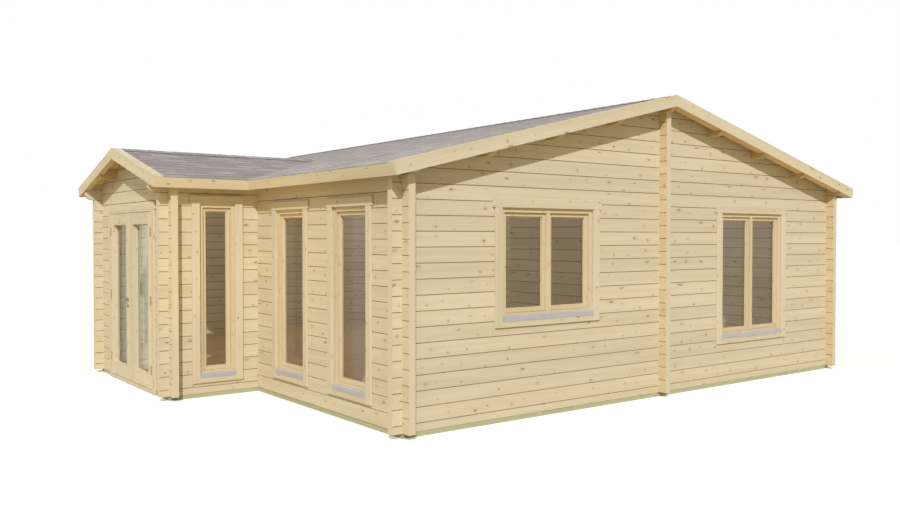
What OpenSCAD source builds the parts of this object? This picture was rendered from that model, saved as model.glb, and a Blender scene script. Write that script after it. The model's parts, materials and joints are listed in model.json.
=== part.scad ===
/* [Logs] */
// Height of one log, joint to joint
log_h = 135; // [110:1:160]
// Thickness of the log walls
log_t = 70; // [50:1:90]
// Length of the log ends that stand out past a crossing wall
log_out = 97; // [60:1:130]
// Depth of the V groove at each log joint
groove = 5; // [2:0.5:8]

/* [Main house] */
// Length between the centre lines of the two gable walls
main_l = 8220; // [7600:10:9000]
// Width between the centre lines of the two eaves walls
main_w = 6490; // [6000:10:7000]
// Height of the roof boards over the lowest log, on an eaves wall's centre line
eave_h = 2266; // [2180:1:2450]
// Pitch of the main roof in degrees
main_pitch = 13.85; // [11:0.05:18]
// Length of the log partition, from the gable wall's centre line
partition_l = 2350; // [1500:10:3000]

/* [Annex] */
// Width between the centre lines of the annex side walls
annex_w = 2378; // [2150:1:2600]
// Depth from the front wall's centre line to the door wall's centre line
annex_d = 978; // [850:1:1300]
// Place of the annex's middle, from the middle of the house
annex_shift = 86; // [-200:1:300]
// Pitch of the annex roof in degrees
annex_pitch = 15.07; // [12:0.05:19]
// Depth of the header over the opening to the annex, below the eaves height
header_d = 241; // [180:1:300]

/* [Roof] */
// Overhang of the main verges, from the gable wall's centre line
verge_out = 237; // [200:1:300]
// Overhang of the annex verge, from the door wall's centre line
annex_verge_out = 248; // [200:1:300]
// Overhang of all eaves, from the wall's centre line
eave_out = 245; // [200:1:320]
// Thickness of the roof boards
board_t = 20; // [15:1:28]
// Thickness of the shingle layer
shingle_t = 6; // [4:0.5:10]
// Thickness of barge boards and fascias
barge_t = 19; // [14:1:26]
// Height of barge boards and fascias, square to the roof
barge_h = 102; // [80:1:130]
// Width of the flat trim along the verges
verge_trim_w = 100; // [70:1:140]
// Thickness of the flat trim along the verges
verge_trim_t = 14; // [10:1:20]
// Height of a purlin under the roof boards
purlin_h = 120; // [90:1:150]
// Least depth of the eaves walls' shaped top log ends
tail_h = 70; // [50:1:100]

/* [Floor] */
// Height of the foundation bearers
bearer_h = 45; // [35:1:70]
// Width of the foundation bearers
bearer_w = 60; // [45:1:70]
// Thickness of the floor boards
floor_t = 18; // [14:1:28]
// Number of floor joists in the main house
joists = 10; // [6:2:14]

/* [Windows] */
// Width of the gable window openings
gable_win_w = 1170; // [900:10:1400]
// Distance from the eaves height down to the heads of the gable windows
gable_head_d = 361; // [300:1:450]
// Height of the short gable window's opening foot over the lowest log
short_foot_h = 900; // [600:5:1100]
// Height of the tall gable window's opening foot over the lowest log
tall_foot_h = 514; // [300:2:800]
// Width of the front window openings
front_win_w = 610; // [500:5:700]
// Distance from the eaves height down to the heads of the front windows
front_head_d = 351; // [300:1:450]
// Height of the front window openings' foot over the lowest log
front_foot_h = 245; // [180:5:500]
// Distance between the middles of two front windows
front_win_gap = 1188; // [1100:1:1300]
// Width of the annex window openings
annex_win_w = 390; // [320:5:450]
// Distance from the eaves height down to the heads of the annex windows
annex_head_d = 278; // [240:1:400]
// Height of the annex window openings' foot over the lowest log
annex_foot_h = 190; // [150:5:500]
// Visible width of the window frame's members
frame_w = 42; // [28:1:50]
// Visible width of the sash members
sash_w = 36; // [28:1:60]
// Depth of the sash
sash_d = 40; // [32:1:48]
// Thickness of the glazing
glass_t = 14; // [6:1:24]
// Width of the casing boards round windows and door
trim_w = 84; // [70:1:110]
// Thickness of the casing boards
trim_t = 20; // [14:1:28]
// Overhang of the head casing past the side casings
trim_ear = 26; // [10:1:40]

/* [Door] */
// Width of the doorway in the log wall
door_w = 1500; // [1300:5:1650]
// Distance from the eaves height down to the doorway's head
door_head_d = 334; // [300:1:400]
// Visible width of the door frame
jamb_w = 20; // [15:1:40]
// Thickness of the door leaves
leaf_t = 68; // [50:1:80]
// Running gap round each leaf
leaf_gap = 5; // [5:0.5:8]
// Width of the meeting stiles
stile_w = 130; // [100:1:160]
// Width of the hinge stiles
hinge_stile_w = 90; // [60:1:130]
// Height of the top rail
top_rail_h = 131; // [90:1:150]
// Height of the bottom rail
bottom_rail_h = 145; // [100:1:250]
// Height of the lever handle over the lowest log
handle_z = 924; // [850:1:1100]
// Number of hinges on a leaf
hinges = 3; // [2:1:4]

/* [Hidden] */
$fn = 48;

spruce = [0.87, 0.80, 0.64];
warm_spruce = [0.84, 0.74, 0.54];
treated_green = [0.66, 0.68, 0.50];
bitumen = [0.62, 0.58, 0.58];
zinc_grey = [0.72, 0.72, 0.76];
dark_steel = [0.30, 0.29, 0.28];
clear_glass = [0.60, 0.66, 0.66, 0.45];

// Run of every cut past the faces that it goes through
over = log_t / 2;
// Fitting gap between sloped faces that meet
seam = 0.2;
half_t = log_t / 2;
lap = log_h / 4;

// Centre lines of the walls, with the whole part's middle at zero
x_east = main_l / 2;
x_west = -x_east;
y_front = (annex_d + annex_verge_out - main_w - eave_out) / 2;
y_back = y_front + main_w;
y_ridge = y_front + main_w / 2;
x_annex = annex_shift;
x_annex_east = x_annex + annex_w / 2;
x_annex_west = x_annex - annex_w / 2;
y_door = y_front - annex_d;
z_sill = bearer_h;
header_h = eave_h - header_d;
door_top = eave_h - door_head_d;

// A roof is its half span, the height of its underside on the wall's centre line, and its pitch
skin_t = board_t + shingle_t;
level_eaves = eave_out * (tan(annex_pitch) - tan(main_pitch))
    + skin_t * (1 / cos(main_pitch) - 1 / cos(annex_pitch));
main_roof = [main_w / 2, z_sill + eave_h, main_pitch];
annex_roof = [annex_w / 2, z_sill + eave_h + level_eaves, annex_pitch];
verge_in = verge_out - barge_t;
annex_verge_in = annex_verge_out - barge_t;
x_verge = x_east + verge_in;
y_verge = y_door - annex_verge_in;
z_roof_top = roof_z(main_roof, 0, skin_t + log_h);

// Rounded ends of purlins and of the top logs, which start at a log joint
nose_share = 0.75;
nose_steps = 6;
main_tail_z = z_sill + floor((eave_h - tail_h) / log_h) * log_h;
annex_tail_z = z_sill + log_h / 2
    + floor((annex_roof[1] - z_sill - log_h / 2 - tail_h) / log_h) * log_h;
main_tail_l = verge_in - half_t - log_out;
annex_tail_l = annex_verge_in - half_t - log_out;
main_purlin_shares = [-0.75, -0.5, -0.25, 0, 0.25, 0.5, 0.75];
annex_purlin_shares = [-0.5, 0, 0.5];

// Joinery that keeps one size
gable_win_share = 0.2488;
frame_back = 8;
sash_back = 22;
glass_in = 2;
sill_rise = 28;
sill_fall = 14;
sill_lip = 30;
sill_sheet_t = 2.5;
stop_w = 15;
threshold_drop = 38;

// Door furniture
pin_r = 7;
knuckle_h = 48;
knuckle_gap = 0.3;
plate_t = 3;
plate_l = 28;
hinge_margin_share = 0.11;
handle_plate_w = 42;
handle_plate_h = 230;
handle_plate_t = 8;
lever_r = 9;
lever_out = 48;
lever_l = 120;

// Slant of the meeting edges over the leaf's thickness, for the swing
bevel_share = 0.09;
leaf_bevel = bevel_share * leaf_t;

leaf_w = door_w / 2 - jamb_w - leaf_gap * 3 / 2;
leaf_z = z_sill + leaf_gap;
leaf_h = door_top - jamb_w - leaf_gap * 2;
light_w = leaf_w - stile_w - hinge_stile_w;
light_h = leaf_h - bottom_rail_h - top_rail_h;
y_leaf = y_door - half_t - trim_t;
door_frame_d = max(log_t + trim_t, leaf_t + leaf_gap + stop_w);
x_hinge = door_w / 2 - jamb_w - leaf_gap / 2;
y_hinge = y_leaf - pin_r - plate_t * 2 / 3;

// Height of a roof's surface at distance d from the ridge, n above its underside
function roof_z(r, d, n) = r[1] + (r[0] - d) * tan(r[2]) + n / cos(r[2]);

// Distance from the ridge of the square-cut eaves edge, back along the slope from the outer face
function edge_d(r, n, back) = r[0] + eave_out - (skin_t - n) * sin(r[2]) - back * cos(r[2]);
function edge_pt(r, n, back) = [edge_d(r, n, back), roof_z(r, edge_d(r, n, back), n)];
function ridge_pt(r, n) = [0, roof_z(r, 0, n)];
function flip(p) = [-p[0], p[1]];

// One slope of a roof layer, from n0 to n1 over the underside
module half_layer(r, n0, n1, back) {
    polygon([ridge_pt(r, n0), edge_pt(r, n0, back), edge_pt(r, n1, back), ridge_pt(r, n1)]);
}

// Both slopes of a roof layer
module chevron(r, n0, n1, back) {
    polygon([
        ridge_pt(r, n1), edge_pt(r, n1, back), edge_pt(r, n0, back),
        ridge_pt(r, n0), flip(edge_pt(r, n0, back)), flip(edge_pt(r, n1, back))
    ]);
}

// All that lies over a roof's underside, with a fitting gap below the boards
module above(r) {
    far = r[0] + eave_out + log_out;
    eave = [far, roof_z(r, far, -seam)];
    polygon([
        ridge_pt(r, -seam), eave, [far, z_roof_top + over],
        [-far, z_roof_top + over], flip(eave)
    ]);
}

// All that a roof and its fascias cover, down past the fascias' lower edge
module covered(r, back) {
    top = skin_t + seam;
    low = edge_pt(r, skin_t - barge_h * 2, back);
    polygon([
        ridge_pt(r, top), edge_pt(r, top, back), low,
        flip(low), flip(edge_pt(r, top, back))
    ]);
}

// Section of one fascia, square to its roof
module fascia_section(r) {
    polygon([
        edge_pt(r, skin_t, 0), edge_pt(r, skin_t, barge_t),
        edge_pt(r, skin_t - barge_h, barge_t), edge_pt(r, skin_t - barge_h, 0)
    ]);
}

// Section of the flat trim on top of a verge, ending over the fascias
module verge_trim_section(r) {
    top = skin_t + verge_trim_t;
    chevron(r, skin_t + seam, top, verge_trim_t * tan(r[2]));
}

// A section over the main house's width, drawn out along its length
module along_main(x0, x1) {
    translate([x0, y_ridge, 0])
        rotate([90, 0, 90])
            linear_extrude(x1 - x0)
                children();
}

// A section over the annex's width, drawn out along its depth
module along_annex(y0, y1) {
    translate([x_annex, y1, 0])
        rotate([90, 0, 0])
            linear_extrude(y1 - y0)
                children();
}

// Wall section with a V groove on both faces at each log joint
function log_joints(top, first) = [for (z = [first : log_h : top - groove * 2]) z];
module log_section(top, first) {
    joints_z = log_joints(top, first);
    outer = [for (z = joints_z) each [[half_t, z - groove], [half_t - groove, z], [half_t, z + groove]]];
    inner = [for (i = [len(outer) - 1 : -1 : 0]) flip(outer[i])];
    polygon(concat([[-half_t, 0], [half_t, 0]], outer, [[half_t, top], [-half_t, top]], inner));
}

// Log wall along X, with a full first log and a lap at each crossing wall
module wall_x(x0, x1, y, top, crossings) {
    difference() {
        translate([x0, y, z_sill])
            rotate([90, 0, 90])
                linear_extrude(x1 - x0)
                    log_section(top, log_h);
        for (c = crossings, k = [0 : ceil(top / log_h)])
            translate([c - half_t, y - half_t - over, z_sill + k * log_h - lap])
                cube([log_t, log_t + over * 2, lap * 2]);
    }
}

// Log wall along Y, with a half first log and a lap at each crossing wall
module wall_y(y0, y1, x, top, crossings) {
    difference() {
        translate([x, y1, z_sill])
            rotate([90, 0, 0])
                linear_extrude(y1 - y0)
                    log_section(top, log_h / 2);
        for (c = crossings, k = [0 : ceil(top / log_h)])
            translate([x - half_t - over, c - half_t, z_sill + k * log_h + lap])
                cube([log_t + over * 2, log_t, lap * 2]);
    }
}

// Rounded lower corner of a projecting end, drawn in length and height
function nose(l, z) = [
    for (i = [0 : nose_steps])
        let (a = i * 90 / nose_steps, r = nose_share * l)
            [l - r * (1 - sin(a)), z + r * (1 - cos(a))]
];

// Top log end of an eaves wall, drawn in length and height
module tail_section(l, z) {
    polygon(concat([[0, z]], nose(l, z), [[l, z_roof_top], [0, z_roof_top]]));
}
module main_tail(y, side) {
    turn = side > 0 ? 0 : 1;
    translate([side * (x_east + half_t + log_out), y + half_t, 0])
        mirror([turn, 0, 0])
            rotate([90, 0, 0])
                linear_extrude(log_t)
                    tail_section(main_tail_l, main_tail_z);
}
module annex_tail(x) {
    translate([x - half_t, y_door - half_t - log_out, 0])
        mirror([0, 1, 0])
            rotate([90, 0, 90])
                linear_extrude(log_t)
                    tail_section(annex_tail_l, annex_tail_z);
}

// Purlins, full width under the roof boards; the same shape cuts their seats in the gables
module main_purlin_bars(tails) {
    for (s = main_purlin_shares) {
        d = abs(s) * main_w / 2;
        z = roof_z(main_roof, d, 0) - purlin_h;
        end = tails
            ? [for (p = nose(main_tail_l, z)) [x_verge - main_tail_l + p[0], p[1]]]
            : [[x_verge, z]];
        far_end = [for (i = [len(end) - 1 : -1 : 0]) flip(end[i])];
        translate([0, y_ridge + s * main_w / 2 + half_t, 0])
            rotate([90, 0, 0])
                linear_extrude(log_t)
                    polygon(concat(end, [[x_verge, z_roof_top], [-x_verge, z_roof_top]], far_end));
    }
}
module annex_purlin_bars(tails) {
    for (s = annex_purlin_shares) {
        d = abs(s) * annex_w / 2;
        z = roof_z(annex_roof, d, 0) - purlin_h;
        end = tails
            ? [for (p = nose(annex_tail_l, z)) [y_verge + annex_tail_l - p[0], p[1]]]
            : [[y_verge, z]];
        translate([x_annex + s * annex_w / 2 - half_t, 0, 0])
            rotate([90, 0, 90])
                linear_extrude(log_t)
                    polygon(concat(end, [[y_verge, z_roof_top], [y_ridge, z_roof_top], [y_ridge, z]]));
    }
}

module above_main() { along_main(x_west - verge_out, x_east + verge_out) above(main_roof); }
module above_annex() { along_annex(y_door - annex_verge_out, y_ridge + over) above(annex_roof); }

// Part of the main roof that passes over the annex walls' inner ends
module above_annex_ends() {
    intersection() {
        above_main();
        translate([x_west, y_front - half_t, 0])
            cube([main_l, main_w, z_roof_top + over * 2]);
    }
}

// Space that the main roof fills, for what is scribed to it
module main_roof_mass() { along_main(x_west, x_east) covered(main_roof, -seam); }

// Windows: each placer sets the opening's size and the number of sashes for its children,
// with the opening's foot at zero, the wall's centre line at zero and the outside toward -Y
module gable_windows() {
    for (s = [-1, 1]) {
        foot = s < 0 ? short_foot_h : tall_foot_h;
        translate([x_east, y_ridge + s * gable_win_share * main_w, z_sill + foot])
            rotate([0, 0, 90])
                let ($win_w = gable_win_w, $win_h = eave_h - gable_head_d - foot, $sashes = 2)
                    children();
    }
}
module front_windows(sides) {
    for (side = sides, s = [-1, 1]) {
        mid = side > 0 ? (x_annex_east + x_east) / 2 : (x_annex_west + x_west) / 2;
        translate([mid + s * front_win_gap / 2, y_front, z_sill + front_foot_h])
            let ($win_w = front_win_w, $win_h = eave_h - front_head_d - front_foot_h, $sashes = 1)
                children();
    }
}
module annex_windows(sides) {
    for (side = sides) {
        x = side > 0 ? x_annex_east : x_annex_west;
        translate([x, (y_front + y_door) / 2, z_sill + annex_foot_h])
            rotate([0, 0, 90 * side])
                let ($win_w = annex_win_w, $win_h = eave_h - annex_head_d - annex_foot_h, $sashes = 1)
                    children();
    }
}
module all_windows() {
    gable_windows() children();
    front_windows([-1, 1]) children();
    annex_windows([-1, 1]) children();
}

module window_cut() {
    translate([-$win_w / 2, -half_t - over, 0])
        cube([$win_w, log_t + over * 2, $win_h]);
}

// Upright ring of width w inside the outline a by b
module ring(a, b, w, y0, d) {
    difference() {
        translate([-a / 2, y0, 0])
            cube([a, d, b]);
        translate([w - a / 2, y0 - over, w])
            cube([a - w * 2, d + over * 2, b - w * 2]);
    }
}
function sash_a() = ($win_w - frame_w * ($sashes + 1)) / $sashes;
function sash_b() = $win_h - frame_w * 2;

// Places a child in the middle of each sash
module each_sash() {
    for (i = [0 : $sashes - 1])
        translate([(i - ($sashes - 1) / 2) * (sash_a() + frame_w), 0, frame_w])
            children();
}
module window_frame() {
    y0 = frame_back - half_t;
    difference() {
        translate([-$win_w / 2, y0, 0])
            cube([$win_w, log_t - frame_back, $win_h]);
        each_sash()
            translate([-sash_a() / 2, y0 - over, 0])
                cube([sash_a(), log_t + over * 2, sash_b()]);
    }
    each_sash()
        ring(sash_a(), sash_b(), sash_w, y0 + sash_back, sash_d);
}
module window_pane() {
    y0 = frame_back - half_t + sash_back + sash_d - glass_t - glass_in;
    each_sash()
        translate([sash_w - sash_a() / 2, y0, sash_w])
            cube([sash_a() - sash_w * 2, glass_t, sash_b() - sash_w * 2]);
}

// Casing boards: sides, foot, and a head that stands past the sides
module casing(a, b, foot) {
    for (s = [-1, 1])
        translate([s * (a + trim_w) / 2 - trim_w / 2, -half_t - trim_t, -foot])
            cube([trim_w, trim_t, b + foot]);
    translate([-a / 2 - trim_w - trim_ear, -half_t - trim_t, b])
        cube([a + trim_w * 2 + trim_ear * 2, trim_t, trim_w]);
}
module window_trim() {
    casing($win_w, $win_h, trim_w);
    translate([-$win_w / 2, -half_t - trim_t, -trim_w])
        cube([$win_w, trim_t, trim_w]);
}

// Folded metal drip sill, from the frame's face over the foot casing
module window_sill() {
    back = frame_back - half_t;
    front = -half_t - trim_t;
    translate([-$win_w / 2, 0, 0])
        rotate([90, 0, 90])
            linear_extrude($win_w)
                polygon([
                    [back, sill_rise], [front - sill_sheet_t, sill_fall],
                    [front - sill_sheet_t, -sill_lip], [front, -sill_lip],
                    [front, sill_fall - sill_sheet_t], [back, sill_rise - sill_sheet_t]
                ]);
}

// One bearer or joist, from the centre of its first end at p, along X or along Y
module bearer(p, size_x, size_y) {
    translate([p[0] - bearer_w / 2, p[1] - bearer_w / 2, 0])
        cube([size_x + bearer_w, size_y + bearer_w, bearer_h]);
}

module main_bearers() {
    color(treated_green) {
        for (y = [y_front, y_back])
            bearer([x_west, y], main_l, 0);
        for (x = [x_west, x_east])
            bearer([x, y_front], 0, main_w);
        for (i = [1 : joists])
            bearer([x_west, y_front + i * main_w / (joists + 1)], main_l, 0);
        bearer([x_east - partition_l, y_ridge], partition_l, 0);
    }
}

module annex_bearers() {
    color(treated_green)
        difference() {
            union() {
                for (x = [x_annex_west, x_annex_east])
                    bearer([x, y_door], 0, annex_d);
                for (y = [y_door, (y_front + y_door) / 2])
                    bearer([x_annex_west, y], annex_w, 0);
            }
            translate([x_annex - door_w / 2, y_door - half_t, -over])
                cube([door_w, log_t, bearer_h + over * 2]);
            translate([x_west, y_front - bearer_w / 2, -over])
                cube([main_l, main_w, bearer_h + over * 2]);
        }
}

module main_floor() {
    color(warm_spruce)
        difference() {
            translate([x_west + half_t, y_front + half_t, z_sill])
                cube([main_l - log_t, main_w - log_t, floor_t]);
            translate([x_east - partition_l, y_ridge - half_t, z_sill - over])
                cube([partition_l, log_t, floor_t + over * 2]);
        }
}

module annex_floor() {
    color(warm_spruce)
        translate([x_annex_west + half_t, y_door + half_t, z_sill])
            cube([annex_w - log_t, annex_d, floor_t]);
}

// Gable wall under the main roof, with seats for the purlins
module gable_wall(x, crossings) {
    difference() {
        wall_y(
            y_front - half_t - log_out, y_back + half_t + log_out, x,
            z_roof_top - z_sill, crossings
        );
        above_main();
        main_purlin_bars(false);
    }
}

module east_gable_wall() {
    color(spruce)
        difference() {
            gable_wall(x_east, [y_front, y_ridge, y_back]);
            gable_windows()
                window_cut();
        }
}

module west_gable_wall() {
    color(spruce)
        gable_wall(x_west, [y_front, y_back]);
}

module front_wall_east() {
    color(warm_spruce)
        difference() {
            union() {
                wall_x(
                    x_annex_east - half_t, x_east + half_t + log_out, y_front,
                    eave_h + log_h, [x_annex_east, x_east]
                );
                main_tail(y_front, 1);
            }
            above_main();
            front_windows([1])
                window_cut();
        }
}

module front_wall_west() {
    color(warm_spruce)
        difference() {
            union() {
                wall_x(
                    x_west - half_t - log_out, x_annex_west + half_t, y_front,
                    eave_h + log_h, [x_west, x_annex_west]
                );
                main_tail(y_front, -1);
            }
            above_main();
            front_windows([-1])
                window_cut();
        }
}

module annex_opening_header() {
    color(warm_spruce)
        difference() {
            wall_x(
                x_annex_west + half_t, x_annex_east - half_t, y_front,
                eave_h + log_h, []
            );
            above_main();
            translate([x_annex_west, y_front - half_t - over, z_sill - over])
                cube([annex_w, log_t + over * 2, header_h + over]);
        }
}

module back_wall() {
    color(warm_spruce)
        difference() {
            union() {
                wall_x(
                    x_west - half_t - log_out, x_east + half_t + log_out, y_back,
                    eave_h + log_h, [x_west, x_east]
                );
                main_tail(y_back, -1);
                main_tail(y_back, 1);
            }
            above_main();
        }
}

module partition_wall() {
    color(spruce)
        difference() {
            wall_x(
                x_east - partition_l, x_east + half_t + log_out, y_ridge,
                z_roof_top - z_sill, [x_east]
            );
            above_main();
            main_purlin_bars(false);
        }
}

// Side wall of the annex, from its log ends at the door wall to the front wall's inner face
module annex_side_wall(x) {
    difference() {
        union() {
            wall_y(
                y_door - half_t - log_out, y_front + half_t, x,
                z_roof_top - z_sill, [y_door, y_front]
            );
            annex_tail(x);
        }
        above_annex();
        above_annex_ends();
    }
}

module annex_east_wall() {
    color(spruce)
        difference() {
            annex_side_wall(x_annex_east);
            annex_windows([1])
                window_cut();
        }
}

module annex_west_wall() {
    color(spruce)
        difference() {
            annex_side_wall(x_annex_west);
            annex_windows([-1])
                window_cut();
        }
}

module door_wall_west() {
    color(warm_spruce)
        wall_x(
            x_annex_west - half_t - log_out, x_annex - door_w / 2, y_door,
            door_top, [x_annex_west]
        );
}

module door_wall_east() {
    color(warm_spruce)
        wall_x(
            x_annex + door_w / 2, x_annex_east + half_t + log_out, y_door,
            door_top, [x_annex_east]
        );
}

module door_gable() {
    color(warm_spruce)
        difference() {
            wall_x(
                x_annex_west - half_t - log_out, x_annex_east + half_t + log_out, y_door,
                z_roof_top - z_sill, [x_annex_west, x_annex_east]
            );
            above_annex();
            annex_purlin_bars(false);
            translate([x_annex - annex_w, y_door - half_t - over, z_sill - over])
                cube([annex_w * 2, log_t + over * 2, door_top + over]);
        }
}

// Jambs, head and threshold, flush with the casing, with a stop behind the leaves
module door_frame() {
    foot = z_sill - threshold_drop;
    inner_w = door_w - jamb_w * 2;
    color(warm_spruce)
        difference() {
            translate([x_annex - door_w / 2, y_leaf, foot])
                cube([door_w, door_frame_d, door_top + threshold_drop]);
            translate([x_annex - inner_w / 2, y_leaf - over, z_sill])
                cube([inner_w, leaf_t + leaf_gap + over, door_top - jamb_w]);
            translate([x_annex - inner_w / 2 + stop_w, y_leaf, z_sill + stop_w])
                cube([inner_w - stop_w * 2, door_frame_d + over, door_top - jamb_w - stop_w * 2]);
        }
}

module door_trim() {
    color(spruce)
        translate([x_annex, y_door, z_sill])
            casing(door_w, door_top, threshold_drop);
}

// Heights of the hinges' middles
function hinge_zs() = [
    for (i = [0 : hinges - 1])
        leaf_z + leaf_h * (hinge_margin_share + i * (1 - hinge_margin_share * 2) / (hinges - 1))
];

// Half of a hinge: a knuckle on the axis and a plate on the face beside it
module hinge_half(side, z0) {
    plate_x = side > 0 ? 0 : -plate_l;
    translate([0, 0, z0]) {
        cylinder(r = pin_r, h = knuckle_h);
        translate([plate_x, y_leaf - y_hinge - plate_t, 0])
            cube([plate_l, plate_t, knuckle_h]);
    }
}

// Pins and frame plates, below the leaves' knuckles
module door_hinge_pins() {
    color(dark_steel)
        for (s = [-1, 1], z = hinge_zs())
            translate([x_annex + s * x_hinge, y_hinge, 0])
                hinge_half(s, z - knuckle_h);
}

// Places a child for the leaf on side s, drawn from its meeting edge outward
module leaf_place(s) {
    translate([x_annex, y_leaf, leaf_z])
        mirror([s > 0 ? 0 : 1, 0, 0])
            translate([leaf_gap / 2, 0, 0])
                children();
}

module leaf(s) {
    leaf_place(s)
        difference() {
            linear_extrude(leaf_h)
                polygon([[0, 0], [leaf_w, 0], [leaf_w, leaf_t], [leaf_bevel, leaf_t]]);
            translate([stile_w, -over, bottom_rail_h])
                cube([light_w, leaf_t + over * 2, light_h]);
        }
}

module leaf_glass(s) {
    leaf_place(s)
        translate([stile_w, leaf_t - glass_t - glass_in, bottom_rail_h])
            cube([light_w, glass_t, light_h]);
}

module leaf_hinges(s) {
    for (z = hinge_zs())
        translate([x_annex + s * x_hinge, y_hinge, 0])
            hinge_half(-s, z + knuckle_gap);
}

// Long plate and lever on both faces of the leading leaf
module lever_set() {
    z = z_sill + handle_z;
    x = x_annex - leaf_gap / 2 - stile_w / 2;
    for (face = [0, 1]) {
        y_face = y_leaf + face * leaf_t;
        translate([x, y_face, z])
            mirror([0, face > 0 ? 0 : 1, 0]) {
                translate([-handle_plate_w / 2, 0, -handle_plate_h * 2 / 3])
                    cube([handle_plate_w, handle_plate_t, handle_plate_h]);
                rotate([-90, 0, 0])
                    cylinder(r = lever_r, h = lever_out);
                translate([lever_r, lever_out - lever_r, 0])
                    rotate([0, -90, 0])
                        cylinder(r = lever_r, h = lever_l);
            }
    }
}

module door_leaf_west() { color(spruce) leaf(-1); }
module door_leaf_east() { color(spruce) leaf(1); }
module door_glass_west() { color(clear_glass) leaf_glass(-1); }
module door_glass_east() { color(clear_glass) leaf_glass(1); }

module door_fittings_west() {
    color(dark_steel) {
        leaf_hinges(-1);
        lever_set();
    }
}

module door_fittings_east() {
    color(dark_steel)
        leaf_hinges(1);
}

module gable_window_frames() {
    color(spruce)
        gable_windows()
            window_frame();
}

module front_window_frames() {
    color(spruce)
        front_windows([-1, 1])
            window_frame();
}

module annex_window_frames() {
    color(spruce)
        annex_windows([-1, 1])
            window_frame();
}

module window_trims() {
    color(spruce)
        all_windows()
            window_trim();
}

module window_glass() {
    color(clear_glass)
        all_windows()
            window_pane();
}

module window_sills() {
    color(zinc_grey)
        all_windows()
            window_sill();
}

module main_purlins() {
    color(warm_spruce)
        difference() {
            main_purlin_bars(true);
            above_main();
        }
}

module annex_purlins() {
    color(warm_spruce)
        difference() {
            annex_purlin_bars(true);
            above_annex();
            main_roof_mass();
        }
}

// Front slope of a main roof layer, open over the annex in front of the front wall
module front_slope(n0, n1) {
    difference() {
        along_main(-x_verge, x_verge)
            mirror([1, 0, 0])
                half_layer(main_roof, n0, n1, barge_t + seam);
        translate([x_annex_west - half_t, y_front - half_t - main_w, z_sill])
            cube([annex_w + log_t, main_w, z_roof_top]);
    }
}

// Both slopes of an annex roof layer, scribed to the main roof
module annex_slopes(n0, n1) {
    difference() {
        along_annex(y_verge, y_ridge)
            chevron(annex_roof, n0, n1, barge_t + seam);
        main_roof_mass();
    }
}

module front_roof_boards() { color(warm_spruce) front_slope(0, board_t); }
module front_shingles() { color(bitumen) front_slope(board_t, skin_t); }
module annex_roof_boards() { color(warm_spruce) annex_slopes(0, board_t); }
module annex_shingles() { color(bitumen) annex_slopes(board_t, skin_t); }

module back_roof_boards() {
    color(warm_spruce)
        along_main(-x_verge, x_verge)
            half_layer(main_roof, 0, board_t, barge_t + seam);
}

module back_shingles() {
    color(bitumen)
        along_main(-x_verge, x_verge)
            half_layer(main_roof, board_t, skin_t, barge_t + seam);
}

module main_barge_boards() {
    color(spruce)
        for (x = [-x_verge - barge_t, x_verge])
            along_main(x, x + barge_t)
                chevron(main_roof, skin_t - barge_h, skin_t, 0);
}

module annex_barge_boards() {
    color(spruce)
        along_annex(y_verge - barge_t, y_verge)
            chevron(annex_roof, skin_t - barge_h, skin_t, 0);
}

module main_verge_trims() {
    color(spruce)
        for (x = [-x_east - verge_out, x_east + verge_out - verge_trim_w])
            along_main(x, x + verge_trim_w)
                verge_trim_section(main_roof);
}

module annex_verge_trims() {
    color(spruce)
        along_annex(y_door - annex_verge_out, y_door - annex_verge_out + verge_trim_w)
            verge_trim_section(annex_roof);
}

module main_fascias() {
    color(spruce) {
        along_main(-x_verge, x_verge)
            fascia_section(main_roof);
        difference() {
            along_main(-x_verge, x_verge)
                mirror([1, 0, 0])
                    fascia_section(main_roof);
            along_annex(y_door, y_ridge)
                covered(annex_roof, barge_t);
        }
    }
}

module annex_fascias() {
    color(spruce)
        difference() {
            along_annex(y_verge, y_ridge) {
                fascia_section(annex_roof);
                mirror([1, 0, 0])
                    fascia_section(annex_roof);
            }
            main_roof_mass();
        }
}

main_bearers();
annex_bearers();
main_floor();
annex_floor();
east_gable_wall();
west_gable_wall();
front_wall_east();
front_wall_west();
annex_opening_header();
back_wall();
partition_wall();
annex_east_wall();
annex_west_wall();
door_wall_west();
door_wall_east();
door_gable();
door_frame();
door_trim();
door_hinge_pins();
door_leaf_west();
door_glass_west();
door_fittings_west();
door_leaf_east();
door_glass_east();
door_fittings_east();
gable_window_frames();
front_window_frames();
annex_window_frames();
window_trims();
window_glass();
window_sills();
main_purlins();
annex_purlins();
front_roof_boards();
back_roof_boards();
annex_roof_boards();
front_shingles();
back_shingles();
annex_shingles();
main_barge_boards();
annex_barge_boards();
main_verge_trims();
annex_verge_trims();
main_fascias();
annex_fascias();
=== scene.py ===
# %% [markdown]
# # Dressing a log cabin
# The cabin's construction comes from a CAD model, where every wall, board and hinge already has its
# real size and place. This lesson leaves those parts where they are and adds what an eye looks for:
# shingles, boards with eased edges, joinery, hinges and levers, and finishes with grain and knots.

# %% Load the frame
import json
import math

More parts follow.
